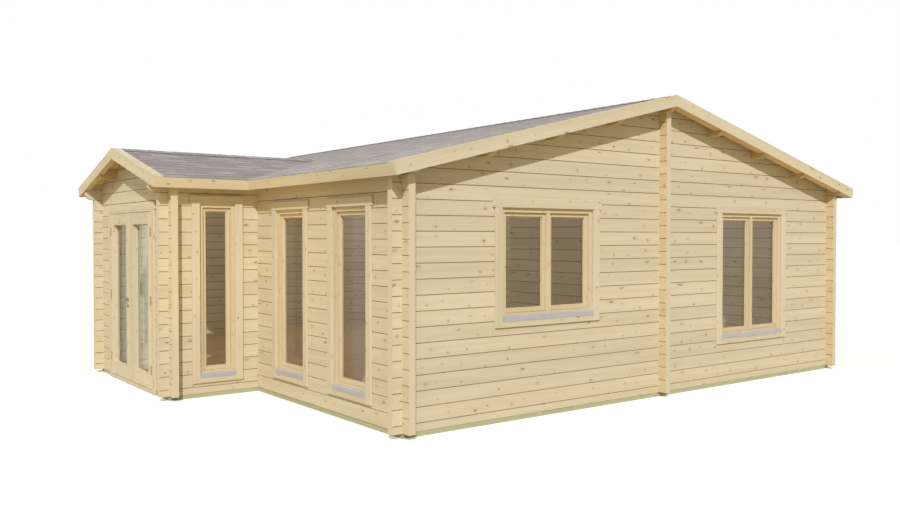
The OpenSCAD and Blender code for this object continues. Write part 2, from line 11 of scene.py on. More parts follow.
import bpy
import numpy as np
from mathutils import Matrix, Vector


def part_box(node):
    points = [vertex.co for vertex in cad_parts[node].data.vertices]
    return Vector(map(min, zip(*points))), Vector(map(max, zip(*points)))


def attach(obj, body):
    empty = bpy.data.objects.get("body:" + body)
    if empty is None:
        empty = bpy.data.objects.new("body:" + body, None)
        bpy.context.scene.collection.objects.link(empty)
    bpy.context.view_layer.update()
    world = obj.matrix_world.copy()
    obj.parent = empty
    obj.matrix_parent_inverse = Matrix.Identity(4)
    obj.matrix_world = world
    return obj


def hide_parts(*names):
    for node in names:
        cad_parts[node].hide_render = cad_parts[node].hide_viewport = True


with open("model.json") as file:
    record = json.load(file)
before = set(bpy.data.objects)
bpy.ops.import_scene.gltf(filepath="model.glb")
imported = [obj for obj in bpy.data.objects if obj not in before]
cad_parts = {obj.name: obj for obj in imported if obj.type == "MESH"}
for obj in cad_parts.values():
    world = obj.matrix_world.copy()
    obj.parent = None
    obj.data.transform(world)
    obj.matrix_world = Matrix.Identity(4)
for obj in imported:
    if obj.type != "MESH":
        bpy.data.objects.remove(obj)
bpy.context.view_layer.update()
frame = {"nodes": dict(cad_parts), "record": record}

# %% [markdown]
# ## Places read from the frame
# A piece that is placed by typed numbers drifts off when the model changes, so walls, roofs and
# windows are measured on the CAD nodes. A node may hold several separate solids, such as the frames
# of four windows. Their boxes are found by joining all the vertices that edges tie together.

# %% Measure the house
LOG_H = 0.135


def islands(points, edges):
    """A label for each point, the same for all points that edges connect."""
    label = np.arange(len(points))
    while True:
        low = label[edges].min(axis=1)
        lower = label.copy()
        np.minimum.at(lower, edges[:, 0], low)
        np.minimum.at(lower, edges[:, 1], low)
        lower = lower[lower]
        if (lower == label).all():
            return label
        label = lower


def mesh_arrays(mesh):
    """A mesh's points and edges as arrays."""
    points = np.empty(len(mesh.vertices) * 3)
    mesh.vertices.foreach_get("co", points)
    edges = np.empty(len(mesh.edges) * 2, int)
    mesh.edges.foreach_get("vertices", edges)
    return points.reshape(-1, 3), edges.reshape(-1, 2)


def solid_boxes(node):
    """Lowest and highest corner of each separate solid in a CAD node."""
    points, edges = mesh_arrays(frame["nodes"][node].data)
    merged, place = np.unique(points.round(5), axis=0, return_inverse=True)
    label = islands(merged, place.reshape(-1)[edges])
    return [
        (Vector(merged[label == one].min(axis=0)), Vector(merged[label == one].max(axis=0)))
        for one in np.unique(label)
    ]


def middle(node):
    low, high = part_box(node)
    return (low + high) / 2


y_back = middle("back_wall").y
y_front = middle("annex_opening_header").y
y_ridge = (y_front + y_back) / 2
x_annex = middle("annex_floor").x
annex_w = middle("annex_east_wall").x - middle("annex_west_wall").x
LOG_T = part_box("annex_opening_header")[1].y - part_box("annex_opening_header")[0].y
z_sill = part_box("main_bearers")[1].z
print(f"Main walls from y {y_front:.3f} to {y_back:.3f}, annex {annex_w:.3f} wide, logs {LOG_T:.3f} thick")

# %% [markdown]
# ## The two roofs
# Both roofs are plain gables. A roof is described by its pitch and by the line of its ridge on the
# underside of the boards, which is enough to build boards and shingles flat, in easy coordinates,
# and then to tilt them into place in one step.

# %% Measure the roofs
MAIN_PITCH = math.radians(13.85)
ANNEX_PITCH = math.radians(15.07)
BOARD_T = 0.020
SKIN_T = 0.026
BARGE_T = 0.019
BARGE_H = 0.102
EAVE_OUT = 0.245


def roof(pitch, ridge_node, span):
    """Pitch, height of the boards' underside at the ridge, and slope length to the fascia."""
    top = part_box(ridge_node)[1].z
    reach = span / 2 + EAVE_OUT
    return {
        "pitch": pitch,
        "ridge_z": top - BOARD_T / math.cos(pitch),
        "slope_l": reach / math.cos(pitch) + SKIN_T * math.tan(pitch) - BARGE_T,
    }


main_roof = roof(MAIN_PITCH, "front_roof_boards", y_back - y_front)
annex_roof = roof(ANNEX_PITCH, "annex_roof_boards", annex_w)
x_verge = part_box("front_roof_boards")[1].x
y_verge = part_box("annex_roof_boards")[0].y
for label, one in (("main", main_roof), ("annex", annex_roof)):
    print(f"{label} roof: ridge at z {one['ridge_z']:.3f}, slope {one['slope_l']:.3f} long")

# %% [markdown]
# ## Camera
# The picture was taken a little above head height from the corner between the entrance side and the
# windowed gable. The lens and direction come from the lines of the logs and eaves, which run to two
# vanishing points. The frame is 900 by 506 pixels.

# %% Set up the camera
CAMERA_AT = (10.1636, -6.8007, 1.6896)
CAMERA_TILT = math.radians(88.904)
CAMERA_HEADING = math.radians(53.162)
LENS_MM = 34.849

bpy.ops.object.camera_add(location=CAMERA_AT, rotation=(CAMERA_TILT, 0, CAMERA_HEADING))
camera = bpy.context.object
camera.name = "photo_camera"
camera.data.sensor_fit = "HORIZONTAL"
camera.data.lens = LENS_MM
bpy.context.scene.camera = camera
bpy.context.scene.view_settings.view_transform = "Standard"
print("Camera at", CAMERA_AT, "lens", LENS_MM)

# %% [markdown]
# ## Building finishes from nodes
# A finish is a small network of nodes. One helper adds a node and either sets or links each of its
# inputs, and the others name the few kinds of node that come back in every finish: a sum, a pattern
# of noise, a change of range and a mix of colours. A network that is written this way can be read
# from top to bottom, as a recipe.

# %% Node helpers
def new_material(name):
    """An empty material and its tree of nodes."""
    made = bpy.data.materials.new(name)
    made.use_nodes = True
    made.node_tree.nodes.clear()
    return made, made.node_tree


def feed(tree, socket, value):
    """Links a socket, or sets it to a number or a colour."""
    if isinstance(value, bpy.types.NodeSocket):
        tree.links.new(value, socket)
    else:
        socket.default_value = value


def add(tree, kind, inputs=None, **settings):
    """A node of a kind; inputs are numbers, colours or the sockets that feed them."""
    made = tree.nodes.new(kind)
    for key, value in settings.items():
        setattr(made, key, value)
    for key, value in (inputs or {}).items():
        feed(tree, made.inputs[key], value)
    return made


def calc(tree, operation, *values):
    """The result of one sum."""
    return add(tree, "ShaderNodeMath", dict(enumerate(values)), operation=operation).outputs[0]


def times(tree, first, second):
    return calc(tree, "MULTIPLY", first, second)


def plus(tree, first, second):
    return calc(tree, "ADD", first, second)


def vector(tree, x, y, z):
    return add(tree, "ShaderNodeCombineXYZ", {"X": x, "Y": y, "Z": z}).outputs[0]


def split(tree, place):
    """The X, Y and Z of a vector."""
    return add(tree, "ShaderNodeSeparateXYZ", {0: place}).outputs


def noise(tree, place, scale=1.0, detail=2.0):
    """A cloudy random pattern, mostly between 0.3 and 0.7."""
    return add(tree, "ShaderNodeTexNoise", {"Vector": place, "Scale": scale, "Detail": detail}).outputs[0]


def attribute(tree, name):
    """A number that each face carries."""
    return add(tree, "ShaderNodeAttribute", attribute_name=name).outputs["Fac"]


def remap(tree, value, low, high, to_low, to_high, smooth=False):
    """A value carried from one range to another and kept inside it."""
    kind = "SMOOTHSTEP" if smooth else "LINEAR"
    inputs = {"Value": value, "From Min": low, "From Max": high, "To Min": to_low, "To Max": to_high}
    return add(tree, "ShaderNodeMapRange", inputs, interpolation_type=kind).outputs["Result"]


def blend(tree, factor, first, second, kind="MIX"):
    """Two colours mixed by a factor."""
    made = add(tree, "ShaderNodeMix", data_type="RGBA", blend_type=kind)
    for socket, value in ((made.inputs[0], factor), (made.inputs[6], first), (made.inputs[7], second)):
        feed(tree, socket, value)
    return made.outputs[2]


def dim(tree, colour, light):
    """A colour made darker or lighter by a factor."""
    return blend(tree, 1.0, colour, vector(tree, light, light, light), "MULTIPLY")


def rgb(red, green, blue):
    return (red, green, blue, 1.0)


def surface(tree, colour, roughness, height, bump, depth=0.001, specular=0.35, metallic=0.0):
    """The shader of a finish, with a bump from a height."""
    bumped = add(tree, "ShaderNodeBump", {"Strength": bump, "Distance": depth, "Height": height})
    inputs = {"Base Color": colour, "Roughness": roughness, "Normal": bumped.outputs["Normal"],
              "Specular IOR Level": specular, "Metallic": metallic}
    shader = add(tree, "ShaderNodeBsdfPrincipled", inputs)
    add(tree, "ShaderNodeOutputMaterial", {"Surface": shader.outputs[0]})


print("Node helpers ready")

# %% [markdown]
# ## Studio
# A bright plain studio: a white floor that still takes the house's shadow, white all round where the
# camera or a reflection looks, and a weaker even light for the surfaces. A small lamp stands for the
# sun, high on the side of the gable, because its slanting shadow under the verge shapes the wall. A
# very broad lamp in front of the entrance fills the shade, and the floor throws warm light upwards.

# %% Sky and sun
SUN_TRAVEL = (-0.6535, 0.490, -0.577)
SUN_STRENGTH = 2.78
SUN_SPREAD = math.radians(1.2)
SUN_COLOUR = (0.975, 0.965, 1.0)
FILL_TRAVEL = (0.20, 0.95, -0.25)
FILL_STRENGTH = 0.42
FILL_SPREAD = math.radians(100)
FILL_COLOUR = (1.0, 0.915, 0.64)
SKY_STRENGTH = 0.42
SKY_COLOUR = rgb(1.0, 0.953, 0.763)
WHITE = rgb(1, 1, 1)


def seen_directly(tree):
    """1 for rays from the camera or in a mirror or pane, 0 for the light on surfaces."""
    path = add(tree, "ShaderNodeLightPath")
    seen = calc(tree, "MAXIMUM", path.outputs["Is Camera Ray"], path.outputs["Is Glossy Ray"])
    return calc(tree, "MAXIMUM", seen, path.outputs["Is Transmission Ray"])


world = bpy.data.worlds.new("studio")
world.use_nodes = True
tree = world.node_tree
tree.nodes.clear()
sky = add(tree, "ShaderNodeBackground", {"Color": SKY_COLOUR, "Strength": SKY_STRENGTH})
white = add(tree, "ShaderNodeBackground", {"Color": WHITE, "Strength": 1.0})
mixed = add(tree, "ShaderNodeMixShader", {0: seen_directly(tree), 1: sky.outputs[0], 2: white.outputs[0]})
add(tree, "ShaderNodeOutputWorld", {"Surface": mixed.outputs[0]})
bpy.context.scene.world = world


def sun_lamp(name, travel, strength, spread, colour):
    """A lamp as far away as the sun, shining along a direction."""
    bpy.ops.object.light_add(type="SUN", rotation=Vector(travel).to_track_quat("-Z", "Y").to_euler())
    made = bpy.context.object
    made.name = name
    made.data.energy = strength
    made.data.angle = spread
    made.data.color = colour


sun_lamp("sun", SUN_TRAVEL, SUN_STRENGTH, SUN_SPREAD, SUN_COLOUR)
sun_lamp("front_fill", FILL_TRAVEL, FILL_STRENGTH, FILL_SPREAD, FILL_COLOUR)
print("Studio lit: sun", SUN_STRENGTH, "sky", SKY_STRENGTH)

# %% Floor
FLOOR_SIZE = 400
FLOOR_WARM = rgb(0.55, 0.475, 0.33)
FLOOR_WHITE = rgb(0.92, 0.92, 0.92)
FLOOR_GLOW = rgb(0.85, 0.90, 1.0)
FLOOR_GLOW_STRENGTH = 0.24

bpy.ops.mesh.primitive_plane_add(size=FLOOR_SIZE)
floor = bpy.context.object
floor.name = "studio_floor"
floor_finish, tree = new_material("studio_floor")
plain = add(tree, "ShaderNodeBsdfDiffuse", {"Color": FLOOR_WARM})
lit = add(tree, "ShaderNodeBsdfDiffuse", {"Color": FLOOR_WHITE})
glow = add(tree, "ShaderNodeEmission", {"Color": FLOOR_GLOW, "Strength": FLOOR_GLOW_STRENGTH})
shown = add(tree, "ShaderNodeAddShader", {0: lit.outputs[0], 1: glow.outputs[0]})
mixed = add(tree, "ShaderNodeMixShader", {0: seen_directly(tree), 1: plain.outputs[0], 2: shown.outputs[0]})
add(tree, "ShaderNodeOutputMaterial", {"Surface": mixed.outputs[0]})
floor.data.materials.append(floor_finish)
print("Floor of", FLOOR_SIZE, "m laid")

# %% [markdown]
# ## Light under the eaves and in the rooms
# In the corner between the two wings the sunlit logs throw a golden light on each other, again and
# again. A few bounces don't give all of it, so a narrow lamp near the floor sends it up to the eaves.
# Behind the panes the log walls inside can be seen, in a soft warm light. Daylight through the windows
# alone would need very many samples to settle, so each room gets a wide lamp under its ceiling. The
# camera and reflections don't see the lamps themselves.

# %% Light the eaves and the rooms
BOUNCE_AT = (2.1, -3.6, 0.5)
BOUNCE_SIZE = 1.2
BOUNCE_SPREAD = math.radians(95)
BOUNCE_WATTS = 5
BOUNCE_COLOUR = (1.0, 0.66, 0.22)
FACE_UP = (math.pi, 0, 0)
ROOM_LIGHT = {
    "front_room": (32, (1.0, 0.95, 0.90)),
    "back_room": (44, (1.0, 0.95, 1.0)),
    "entrance_annex": (3.5, (1.0, 0.70, 0.36)),
}


def area_lamp(name, at, size_x, size_y, watts, colour, turn=(0, 0, 0)):
    """A flat lamp that lights surfaces downwards, unless it is turned, and isn't seen itself."""
    bpy.ops.object.light_add(type="AREA", location=at, rotation=turn)
    made = bpy.context.object
    made.name = name
    made.data.shape = "RECTANGLE"
    made.data.size = size_x
    made.data.size_y = size_y
    made.data.energy = watts
    made.data.color = colour
    made.visible_camera = False
    made.visible_glossy = False
    return made


bounce = area_lamp("eaves_bounce", BOUNCE_AT, BOUNCE_SIZE, BOUNCE_SIZE, BOUNCE_WATTS,
                   BOUNCE_COLOUR, FACE_UP)
bounce.data.spread = BOUNCE_SPREAD
for opening in frame["record"]["physics"]["openings"]:
    low, high = opening["box_m"]
    ceiling = ((low[0] + high[0]) / 2, (low[1] + high[1]) / 2, high[2])
    area_lamp(opening["name"] + "_lamp", ceiling, high[0] - low[0], high[1] - low[1],
              *ROOM_LIGHT[opening["name"]])
print("Lit rooms:", list(ROOM_LIGHT))

# %% [markdown]
# ## Spruce
# The logs and boards are planed spruce: pale, with fine lines along the grain, a slow change of tone
# and small brown knots. One recipe serves all of them. It is given the distance along the grain and
# the distances across it, in metres, so the pattern keeps its true scale whichever way a piece lies.
# Knots come from a cell pattern that is measured back in metres, so they keep their size. Each draws
# its own length and strength, since a branch may be cut straight across or along.

# %% Knots
KNOTS_PER_M = 4.5
KNOT_SCATTER = 0.85
KNOT_LONG = 0.4
KNOT_FLAT = 1.2
KNOT_LEAST = 0.005
KNOT_STRENGTH = (0.35, 0.95)
BARE_SHARE = 0.32
RAGGED_SCALE = 55.0
RAGGED = (0.65, 1.4)
TINY = 0.0001


def on_vectors(tree, operation, *values):
    """The results of one step of vector arithmetic."""
    return add(tree, "ShaderNodeVectorMath", dict(enumerate(values)), operation=operation).outputs


def knot_mask(tree, along, across, row_h, largest):
    """How much a place belongs to a knot, how near one it is, and how far from its heart."""
    cell = vector(tree, times(tree, along, KNOTS_PER_M), calc(tree, "DIVIDE", across, row_h), 0.0)
    spots = add(tree, "ShaderNodeTexVoronoi", {"Vector": cell, "Scale": 1.0, "Randomness": KNOT_SCATTER},
                voronoi_dimensions="2D").outputs
    chances = add(tree, "ShaderNodeSeparateColor", {"Color": spots["Color"]}).outputs
    pick = chances["Red"]
    length = remap(tree, chances["Green"], 0.3, 1.0, 1 / KNOTS_PER_M, KNOT_LONG / KNOTS_PER_M, True)
    offset = on_vectors(tree, "SUBTRACT", cell, spots["Position"])[0]
    metres = on_vectors(tree, "MULTIPLY", offset, vector(tree, length, row_h * KNOT_FLAT, 0.0))[0]
    away = on_vectors(tree, "LENGTH", metres)["Value"]
    there = calc(tree, "GREATER_THAN", pick, BARE_SHARE)
    radius = times(tree, there, remap(tree, pick, BARE_SHARE, 1.0, KNOT_LEAST, largest))
    radius = calc(tree, "MAXIMUM", radius, TINY)
    speckle = noise(tree, vector(tree, along, across, 0.0), RAGGED_SCALE)
    ratio = times(tree, calc(tree, "DIVIDE", away, radius), remap(tree, speckle, 0.3, 0.7, *RAGGED))
    strength = remap(tree, chances["Blue"], 0.0, 1.0, *KNOT_STRENGTH)
    knot = times(tree, remap(tree, ratio, 0.5, 1.15, 1.0, 0.0, True), strength)
    near = remap(tree, ratio, 0.9, 3.2, 1.0, 0.0, True)
    return knot, near, remap(tree, ratio, 0.2, 0.75, 0.0, 1.0, True)


print("Knots per metre of a log:", KNOTS_PER_M)

# %% Wood recipe
SPRUCE = {"pale": rgb(0.705, 0.640, 0.467), "amber": rgb(0.605, 0.500, 0.315)}
WARM_SPRUCE = {"pale": rgb(0.690, 0.600, 0.405), "amber": rgb(0.580, 0.455, 0.250)}
SPRUCE_END = rgb(0.690, 0.600, 0.420)
KNOT = rgb(0.250, 0.180, 0.095)
KNOT_HEART = rgb(0.410, 0.320, 0.185)
JOINT_SHADE_AND_DUST = rgb(0.165, 0.092, 0.020)
SLOW_GRAIN = (0.55, 13.0)
FINE_GRAIN = (2.2, 150.0)
RING_PHASE = 420.0
RING_BEND = 22.0
RING_TONE = 0.16
SLOW_TONE = (0.05, 0.55)
FINE_TONE = (-0.12, 0.18)
HALO_TONE = 0.22
STICK_LIGHT = (0.94, 1.04)
END_LIGHT = (0.92, 1.04)
END_CELLS = 6.5
END_RINGS = 190.0
END_FACING = 0.9
LOG_KNOT_R = 0.018
WOOD_ROUGH = (0.58, 0.74)
WOOD_BUMP = 0.18
WOOD_BUMP_H = 0.0006
WOOD_SHINE = 0.25


def drawn_out(tree, along, across, depth, per_m_along, per_m_across):
    """A place for a pattern that is drawn out along the grain."""
    return vector(tree, times(tree, along, per_m_along), times(tree, across, per_m_across),
                  times(tree, depth, per_m_across))


def wood(tree, along, across, depth, tint, end, colours, row_h=LOG_H, knot_r=LOG_KNOT_R, joint=None):
    """The whole recipe: grain, rings, knots, end grain and tone, joined to a shader."""
    broad = noise(tree, drawn_out(tree, along, across, depth, *SLOW_GRAIN), detail=3.0)
    fine = noise(tree, drawn_out(tree, along, across, depth, *FINE_GRAIN))
    phase = plus(tree, times(tree, plus(tree, across, depth), RING_PHASE), times(tree, broad, RING_BEND))
    rings = calc(tree, "MULTIPLY_ADD", calc(tree, "SINE", phase), 0.5, 0.5)
    knot, near, rim = knot_mask(tree, along, across, row_h, knot_r)

    tone = plus(tree, remap(tree, broad, 0.30, 0.72, *SLOW_TONE), times(tree, rings, RING_TONE))
    tone = plus(tree, tone, remap(tree, fine, 0.35, 0.7, *FINE_TONE))
    tone = plus(tree, tone, times(tree, near, HALO_TONE))
    colour = blend(tree, tone, colours["pale"], colours["amber"])
    colour = dim(tree, colour, remap(tree, tint, 0.0, 1.0, *STICK_LIGHT))
    colour = blend(tree, knot, colour, blend(tree, rim, KNOT_HEART, KNOT))

    heart = vector(tree, times(tree, across, END_CELLS), times(tree, depth, END_CELLS), 0.0)
    hearts = add(tree, "ShaderNodeTexVoronoi", {"Vector": heart, "Scale": 1.0}, voronoi_dimensions="2D")
    circles = calc(tree, "SINE", times(tree, hearts.outputs["Distance"], END_RINGS))
    end_colour = dim(tree, SPRUCE_END, remap(tree, circles, -1.0, 1.0, *END_LIGHT))
    colour = blend(tree, end, colour, end_colour)
    # Painted shade and dust in the log joints, left off the end grain.
    if joint is not None:
        colour = blend(tree, times(tree, joint, calc(tree, "SUBTRACT", 1.0, end)), colour, JOINT_SHADE_AND_DUST)

    height = plus(tree, times(tree, fine, 0.6), times(tree, rings, 0.4))
    roughness = remap(tree, broad, 0.2, 0.8, *WOOD_ROUGH)
    surface(tree, colour, roughness, height, WOOD_BUMP, WOOD_BUMP_H, WOOD_SHINE)


def two_tone(tree, where, first, second):
    """The colours of one wood, and of a second one where a mask is 1."""
    return {tone: blend(tree, where, first[tone], second[tone]) for tone in first}


def axes(tree, along):
    """Distances along and across a grain that runs in X, Y or Z, and 1 on faces that cut it."""
    place = add(tree, "ShaderNodeTexCoord").outputs
    x, y, z = split(tree, place["Object"])
    normal = split(tree, place["Normal"])
    order = {"X": (x, z, y), "Y": (y, z, x), "Z": (z, x, y)}[along]
    end = calc(tree, "GREATER_THAN", calc(tree, "ABSOLUTE", normal["XYZ".index(along)]), END_FACING)
    return order + (end,)


print("Wood recipe ready")

# %% [markdown]
# ## Log walls
# Each log is one stick of timber, so the grain and tone change from log to log. The height gives the
# log's number, and a random number from it moves the grain along and sets the tone. Walls along one
# direction start with a full log and the crossing ones with half a log, as on the real corners. The
# groove at each joint between logs is darkened in the colour, as painted shade and dust. The log ends
# that stand out past the windowed gable catch golden light from the sunlit gable beside them, and that
# bounce light is painted into the colours of the two walls that end there, outside the gable.

# %% Log finishes
BOUNCE_PAINTED_SPRUCE = {"pale": rgb(0.710, 0.622, 0.395), "amber": rgb(0.610, 0.485, 0.265)}
JOINT_SHADE_AND_DUST_STRENGTH = 0.92
JOINT_REACH = 0.0055
WALL_SHIFT = 20.0
WALL_STEP = 37.0
LOG_SHIFT = 40.0


def log_finish(name, along, first, bounce_painted_from=None):
    """Spruce for a wall of logs along X or Y, with a joint at the height first."""
    made, tree = new_material(name)
    run, up, deep, end = axes(tree, along)
    colours = SPRUCE
    # Painted golden bounce light on the log ends outside the gable.
    if bounce_painted_from is not None:
        outside = calc(tree, "GREATER_THAN", calc(tree, "ABSOLUTE", run), bounce_painted_from)
        colours = two_tone(tree, outside, SPRUCE, BOUNCE_PAINTED_SPRUCE)
    height = calc(tree, "SUBTRACT", up, first)
    rise = calc(tree, "DIVIDE", height, LOG_H)
    number = calc(tree, "FLOOR", rise)
    wall = calc(tree, "FLOOR", plus(tree, deep, WALL_SHIFT))
    seed = calc(tree, "MULTIPLY_ADD", wall, WALL_STEP, number)
    chance = add(tree, "ShaderNodeTexWhiteNoise", {"W": seed}, noise_dimensions="1D").outputs["Value"]
    run = calc(tree, "MULTIPLY_ADD", chance, LOG_SHIFT, run)
    from_joint = times(tree, calc(tree, "PINGPONG", rise, 0.5), LOG_H)
    # Painted shade and dust in the groove, strongest at the joint.
    joint = remap(tree, from_joint, 0.0, JOINT_REACH, JOINT_SHADE_AND_DUST_STRENGTH, 0.0, True)
    wood(tree, run, height, deep, chance, end, colours, joint=joint)
    return made


logs_x = log_finish("spruce_logs_x", "X", z_sill)
logs_y = log_finish("spruce_logs_y", "Y", z_sill + LOG_H / 2)
cross_logs = log_finish("golden_ended_logs_x", "X", z_sill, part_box("east_gable_wall")[1].x)
print("Finishes:", logs_x.name, logs_y.name, cross_logs.name)

# %% [markdown]
# ## Sawn timber and sloping boards
# Purlins, fascias and bearers lie along X or Y and take the same recipe without logs. Barge boards
# follow the roof, so their distances are turned by the pitch, mirrored at the ridge. What faces down
# under the roof gets golden light from the sunlit wood below, and that bounce light is painted into
# warmer colours of the purlins, the roof boards and the undersides of the barge boards. The bearers
# below the walls are pressure treated, which leaves a dull green.

# %% Timber finishes
# Colours with the golden bounce light under the roof painted in.
BOUNCE_PAINTED_SOFFIT_SPRUCE = {"pale": rgb(0.790, 0.600, 0.320), "amber": rgb(0.690, 0.470, 0.210)}
BOUNCE_PAINTED_PURLIN_SPRUCE = {"pale": rgb(0.670, 0.490, 0.240), "amber": rgb(0.580, 0.385, 0.160)}
TREATED = {"pale": rgb(0.500, 0.505, 0.330), "amber": rgb(0.405, 0.425, 0.260)}
TIMBER_ROW = 0.1
TIMBER_KNOT_R = 0.015
STICKS_PER_M = 2.5
STICK_SHIFT = 3.7
BARGE_ROW = 0.11
BARGE_SHIFT = 9.0
FACES_DOWN = -0.5


def timber_finish(name, along, colours, shows_ends=True):
    """Wood for straight timber along X, Y or Z."""
    made, tree = new_material(name)
    run, across, deep, end = axes(tree, along)
    if not shows_ends:
        end = 0.0
    stick = plus(tree, times(tree, across, 1.3), times(tree, deep, 0.9))
    tint = noise(tree, vector(tree, stick, 0.0, 0.0), 1.1)
    number = calc(tree, "FLOOR", times(tree, deep, STICKS_PER_M))
    run = calc(tree, "MULTIPLY_ADD", number, STICK_SHIFT, run)
    wood(tree, run, across, deep, tint, end, colours, row_h=TIMBER_ROW, knot_r=TIMBER_KNOT_R)
    return made


def barge_finish(name, side, ridge, pitch):
    """Spruce for boards that follow a roof, falling away from the ridge along X or Y."""
    made, tree = new_material(name)
    place = add(tree, "ShaderNodeTexCoord").outputs
    sockets = split(tree, place["Object"])
    # Faces that look down get the painted golden bounce light.
    under = calc(tree, "LESS_THAN", split(tree, place["Normal"])[2], FACES_DOWN)
    colours = two_tone(tree, under, SPRUCE, BOUNCE_PAINTED_SOFFIT_SPRUCE)
    deep = sockets[1 - "XY".index(side)]
    away = calc(tree, "SUBTRACT", sockets["XY".index(side)], ridge)
    half = calc(tree, "SIGN", away)
    away = calc(tree, "ABSOLUTE", away)
    cos, sin = math.cos(pitch), math.sin(pitch)
    run = calc(tree, "SUBTRACT", times(tree, away, cos), times(tree, sockets[2], sin))
    across = plus(tree, times(tree, away, sin), times(tree, sockets[2], cos))
    run = calc(tree, "MULTIPLY_ADD", half, BARGE_SHIFT, run)
    tint = calc(tree, "MULTIPLY_ADD", half, 0.15, 0.6)
    wood(tree, run, across, deep, tint, 0.0, colours, row_h=BARGE_ROW)
    return made


# The purlins carry painted golden bounce light.
purlins_x = timber_finish("purlin_spruce_x", "X", BOUNCE_PAINTED_PURLIN_SPRUCE)
purlins_y = timber_finish("purlin_spruce_y", "Y", BOUNCE_PAINTED_PURLIN_SPRUCE)
fascia_x = timber_finish("fascia_spruce_x", "X", SPRUCE)
fascia_y = timber_finish("fascia_spruce_y", "Y", SPRUCE)
timber_z = timber_finish("spruce_timber_z", "Z", SPRUCE)
treated = timber_finish("treated_bearers", "X", TREATED, shows_ends=False)
main_barge = barge_finish("main_barge_spruce", "Y", y_ridge, main_roof["pitch"])
annex_barge = barge_finish("annex_barge_spruce", "X", x_annex, annex_roof["pitch"])
print("Timber finishes ready")

# %% [markdown]
# ## Glass, sills and steel
# The panes let light straight through and mirror more at a glancing angle. Layer Weight gives that the
# same on both faces of a pane, where Fresnel would treat the inner face as seen from inside the glass.
# The drip sills are painted sheet metal with a faint cloudiness, the hinges are plated with yellow
# zinc, and the door's lever is darker brushed steel.

# %% Glass and metal finishes
PANE_CLEAR = rgb(0.92, 0.935, 0.955)
PANE_MIRROR = rgb(0.95, 0.96, 0.97)
PANE_ROUGH = 0.02
SHINE_LEAST = 0.015
SHINE_MORE = 0.7
SHINE_POWER = 5.0
GLOSS_CHANGE = 0.06

glass, tree = new_material("window_glass")
clear = add(tree, "ShaderNodeBsdfTransparent", {"Color": PANE_CLEAR})
mirror = add(tree, "ShaderNodeBsdfGlossy", {"Color": PANE_MIRROR, "Roughness": PANE_ROUGH})
facing = add(tree, "ShaderNodeLayerWeight", {"Blend": 0.5}).outputs["Facing"]
shine = calc(tree, "MULTIPLY_ADD", calc(tree, "POWER", facing, SHINE_POWER), SHINE_MORE, SHINE_LEAST)
mixed = add(tree, "ShaderNodeMixShader", {0: shine, 1: clear.outputs[0], 2: mirror.outputs[0]})
add(tree, "ShaderNodeOutputMaterial", {"Surface": mixed.outputs[0]})


def metal_finish(name, dark, light, roughness, metallic, scale):
    """Sheet or cast metal with a faint cloudy change of colour and gloss."""
    made, tree = new_material(name)
    cloud = noise(tree, add(tree, "ShaderNodeTexCoord").outputs["Object"], scale, 4.0)
    colour = blend(tree, remap(tree, cloud, 0.35, 0.65, 0.0, 1.0), dark, light)
    rough = remap(tree, cloud, 0.3, 0.7, roughness - GLOSS_CHANGE, roughness + GLOSS_CHANGE)
    surface(tree, colour, rough, cloud, 0.05, metallic=metallic)
    return made


sill_metal = metal_finish("sill_metal", rgb(0.450, 0.425, 0.425), rgb(0.490, 0.465, 0.465), 0.45, 0.0, 9.0)
steel = metal_finish("brushed_steel", rgb(0.24, 0.23, 0.215), rgb(0.36, 0.345, 0.32), 0.38, 0.9, 60.0)
zinc = metal_finish("yellow_zinc_plate", rgb(0.50, 0.41, 0.25), rgb(0.60, 0.51, 0.33), 0.45, 0.5, 80.0)
print("Glass and metal ready")

# %% [markdown]
# ## Dress the CAD nodes
# The nodes whose shape is already right only need their finish. Each goes into the node's own
# material slots, and nothing else about the node changes.

# %% Assign the finishes
FINISHES = {
    logs_x: ["front_wall_east", "front_wall_west", "annex_opening_header", "door_wall_west",
             "door_wall_east", "door_gable"],
    cross_logs: ["back_wall", "partition_wall"],
    logs_y: ["east_gable_wall", "west_gable_wall", "annex_east_wall", "annex_west_wall"],
    purlins_x: ["main_purlins"],
    purlins_y: ["annex_purlins"],
    fascia_x: ["main_fascias"],
    fascia_y: ["annex_fascias"],
    timber_z: ["door_frame"],
    main_barge: ["main_barge_boards", "main_verge_trims"],
    annex_barge: ["annex_barge_boards", "annex_verge_trims"],
    treated: ["main_bearers", "annex_bearers"],
    glass: ["window_glass", "door_glass_west", "door_glass_east"],
    sill_metal: ["window_sills"],
}
for material, nodes in FINISHES.items():
    for node in nodes:
        for slot in frame["nodes"][node].material_slots:
            slot.material = material
print("Dressed nodes:", sum(len(nodes) for nodes in FINISHES.values()))

# %% [markdown]
# ## Modelling helpers
# Most of what is added starts as a cube primitive at its size and place. Its edges are then bevelled,
# all of them on a planed board and only some on a shingle or a plate, and rows are made by an Array
# modifier that is applied. A move or turn is applied at once, so that a finished piece stays at the
# origin, with its place in its mesh.

# %% Shape helpers
EASE = 0.002


def only(piece):
    """Selects one piece alone and makes it active."""
    bpy.ops.object.select_all(action="DESELECT")
    piece.select_set(True)
    bpy.context.view_layer.objects.active = piece


def block(low, high):
    """A cube primitive that fills the box between two corners."""
    low, high = Vector(low), Vector(high)
    bpy.ops.object.select_all(action="DESELECT")
    bpy.ops.mesh.primitive_cube_add(size=1, location=(low + high) / 2)
    made = bpy.context.object
    made.scale = high - low
    bpy.ops.object.transform_apply(location=True, rotation=True, scale=True)
    return made


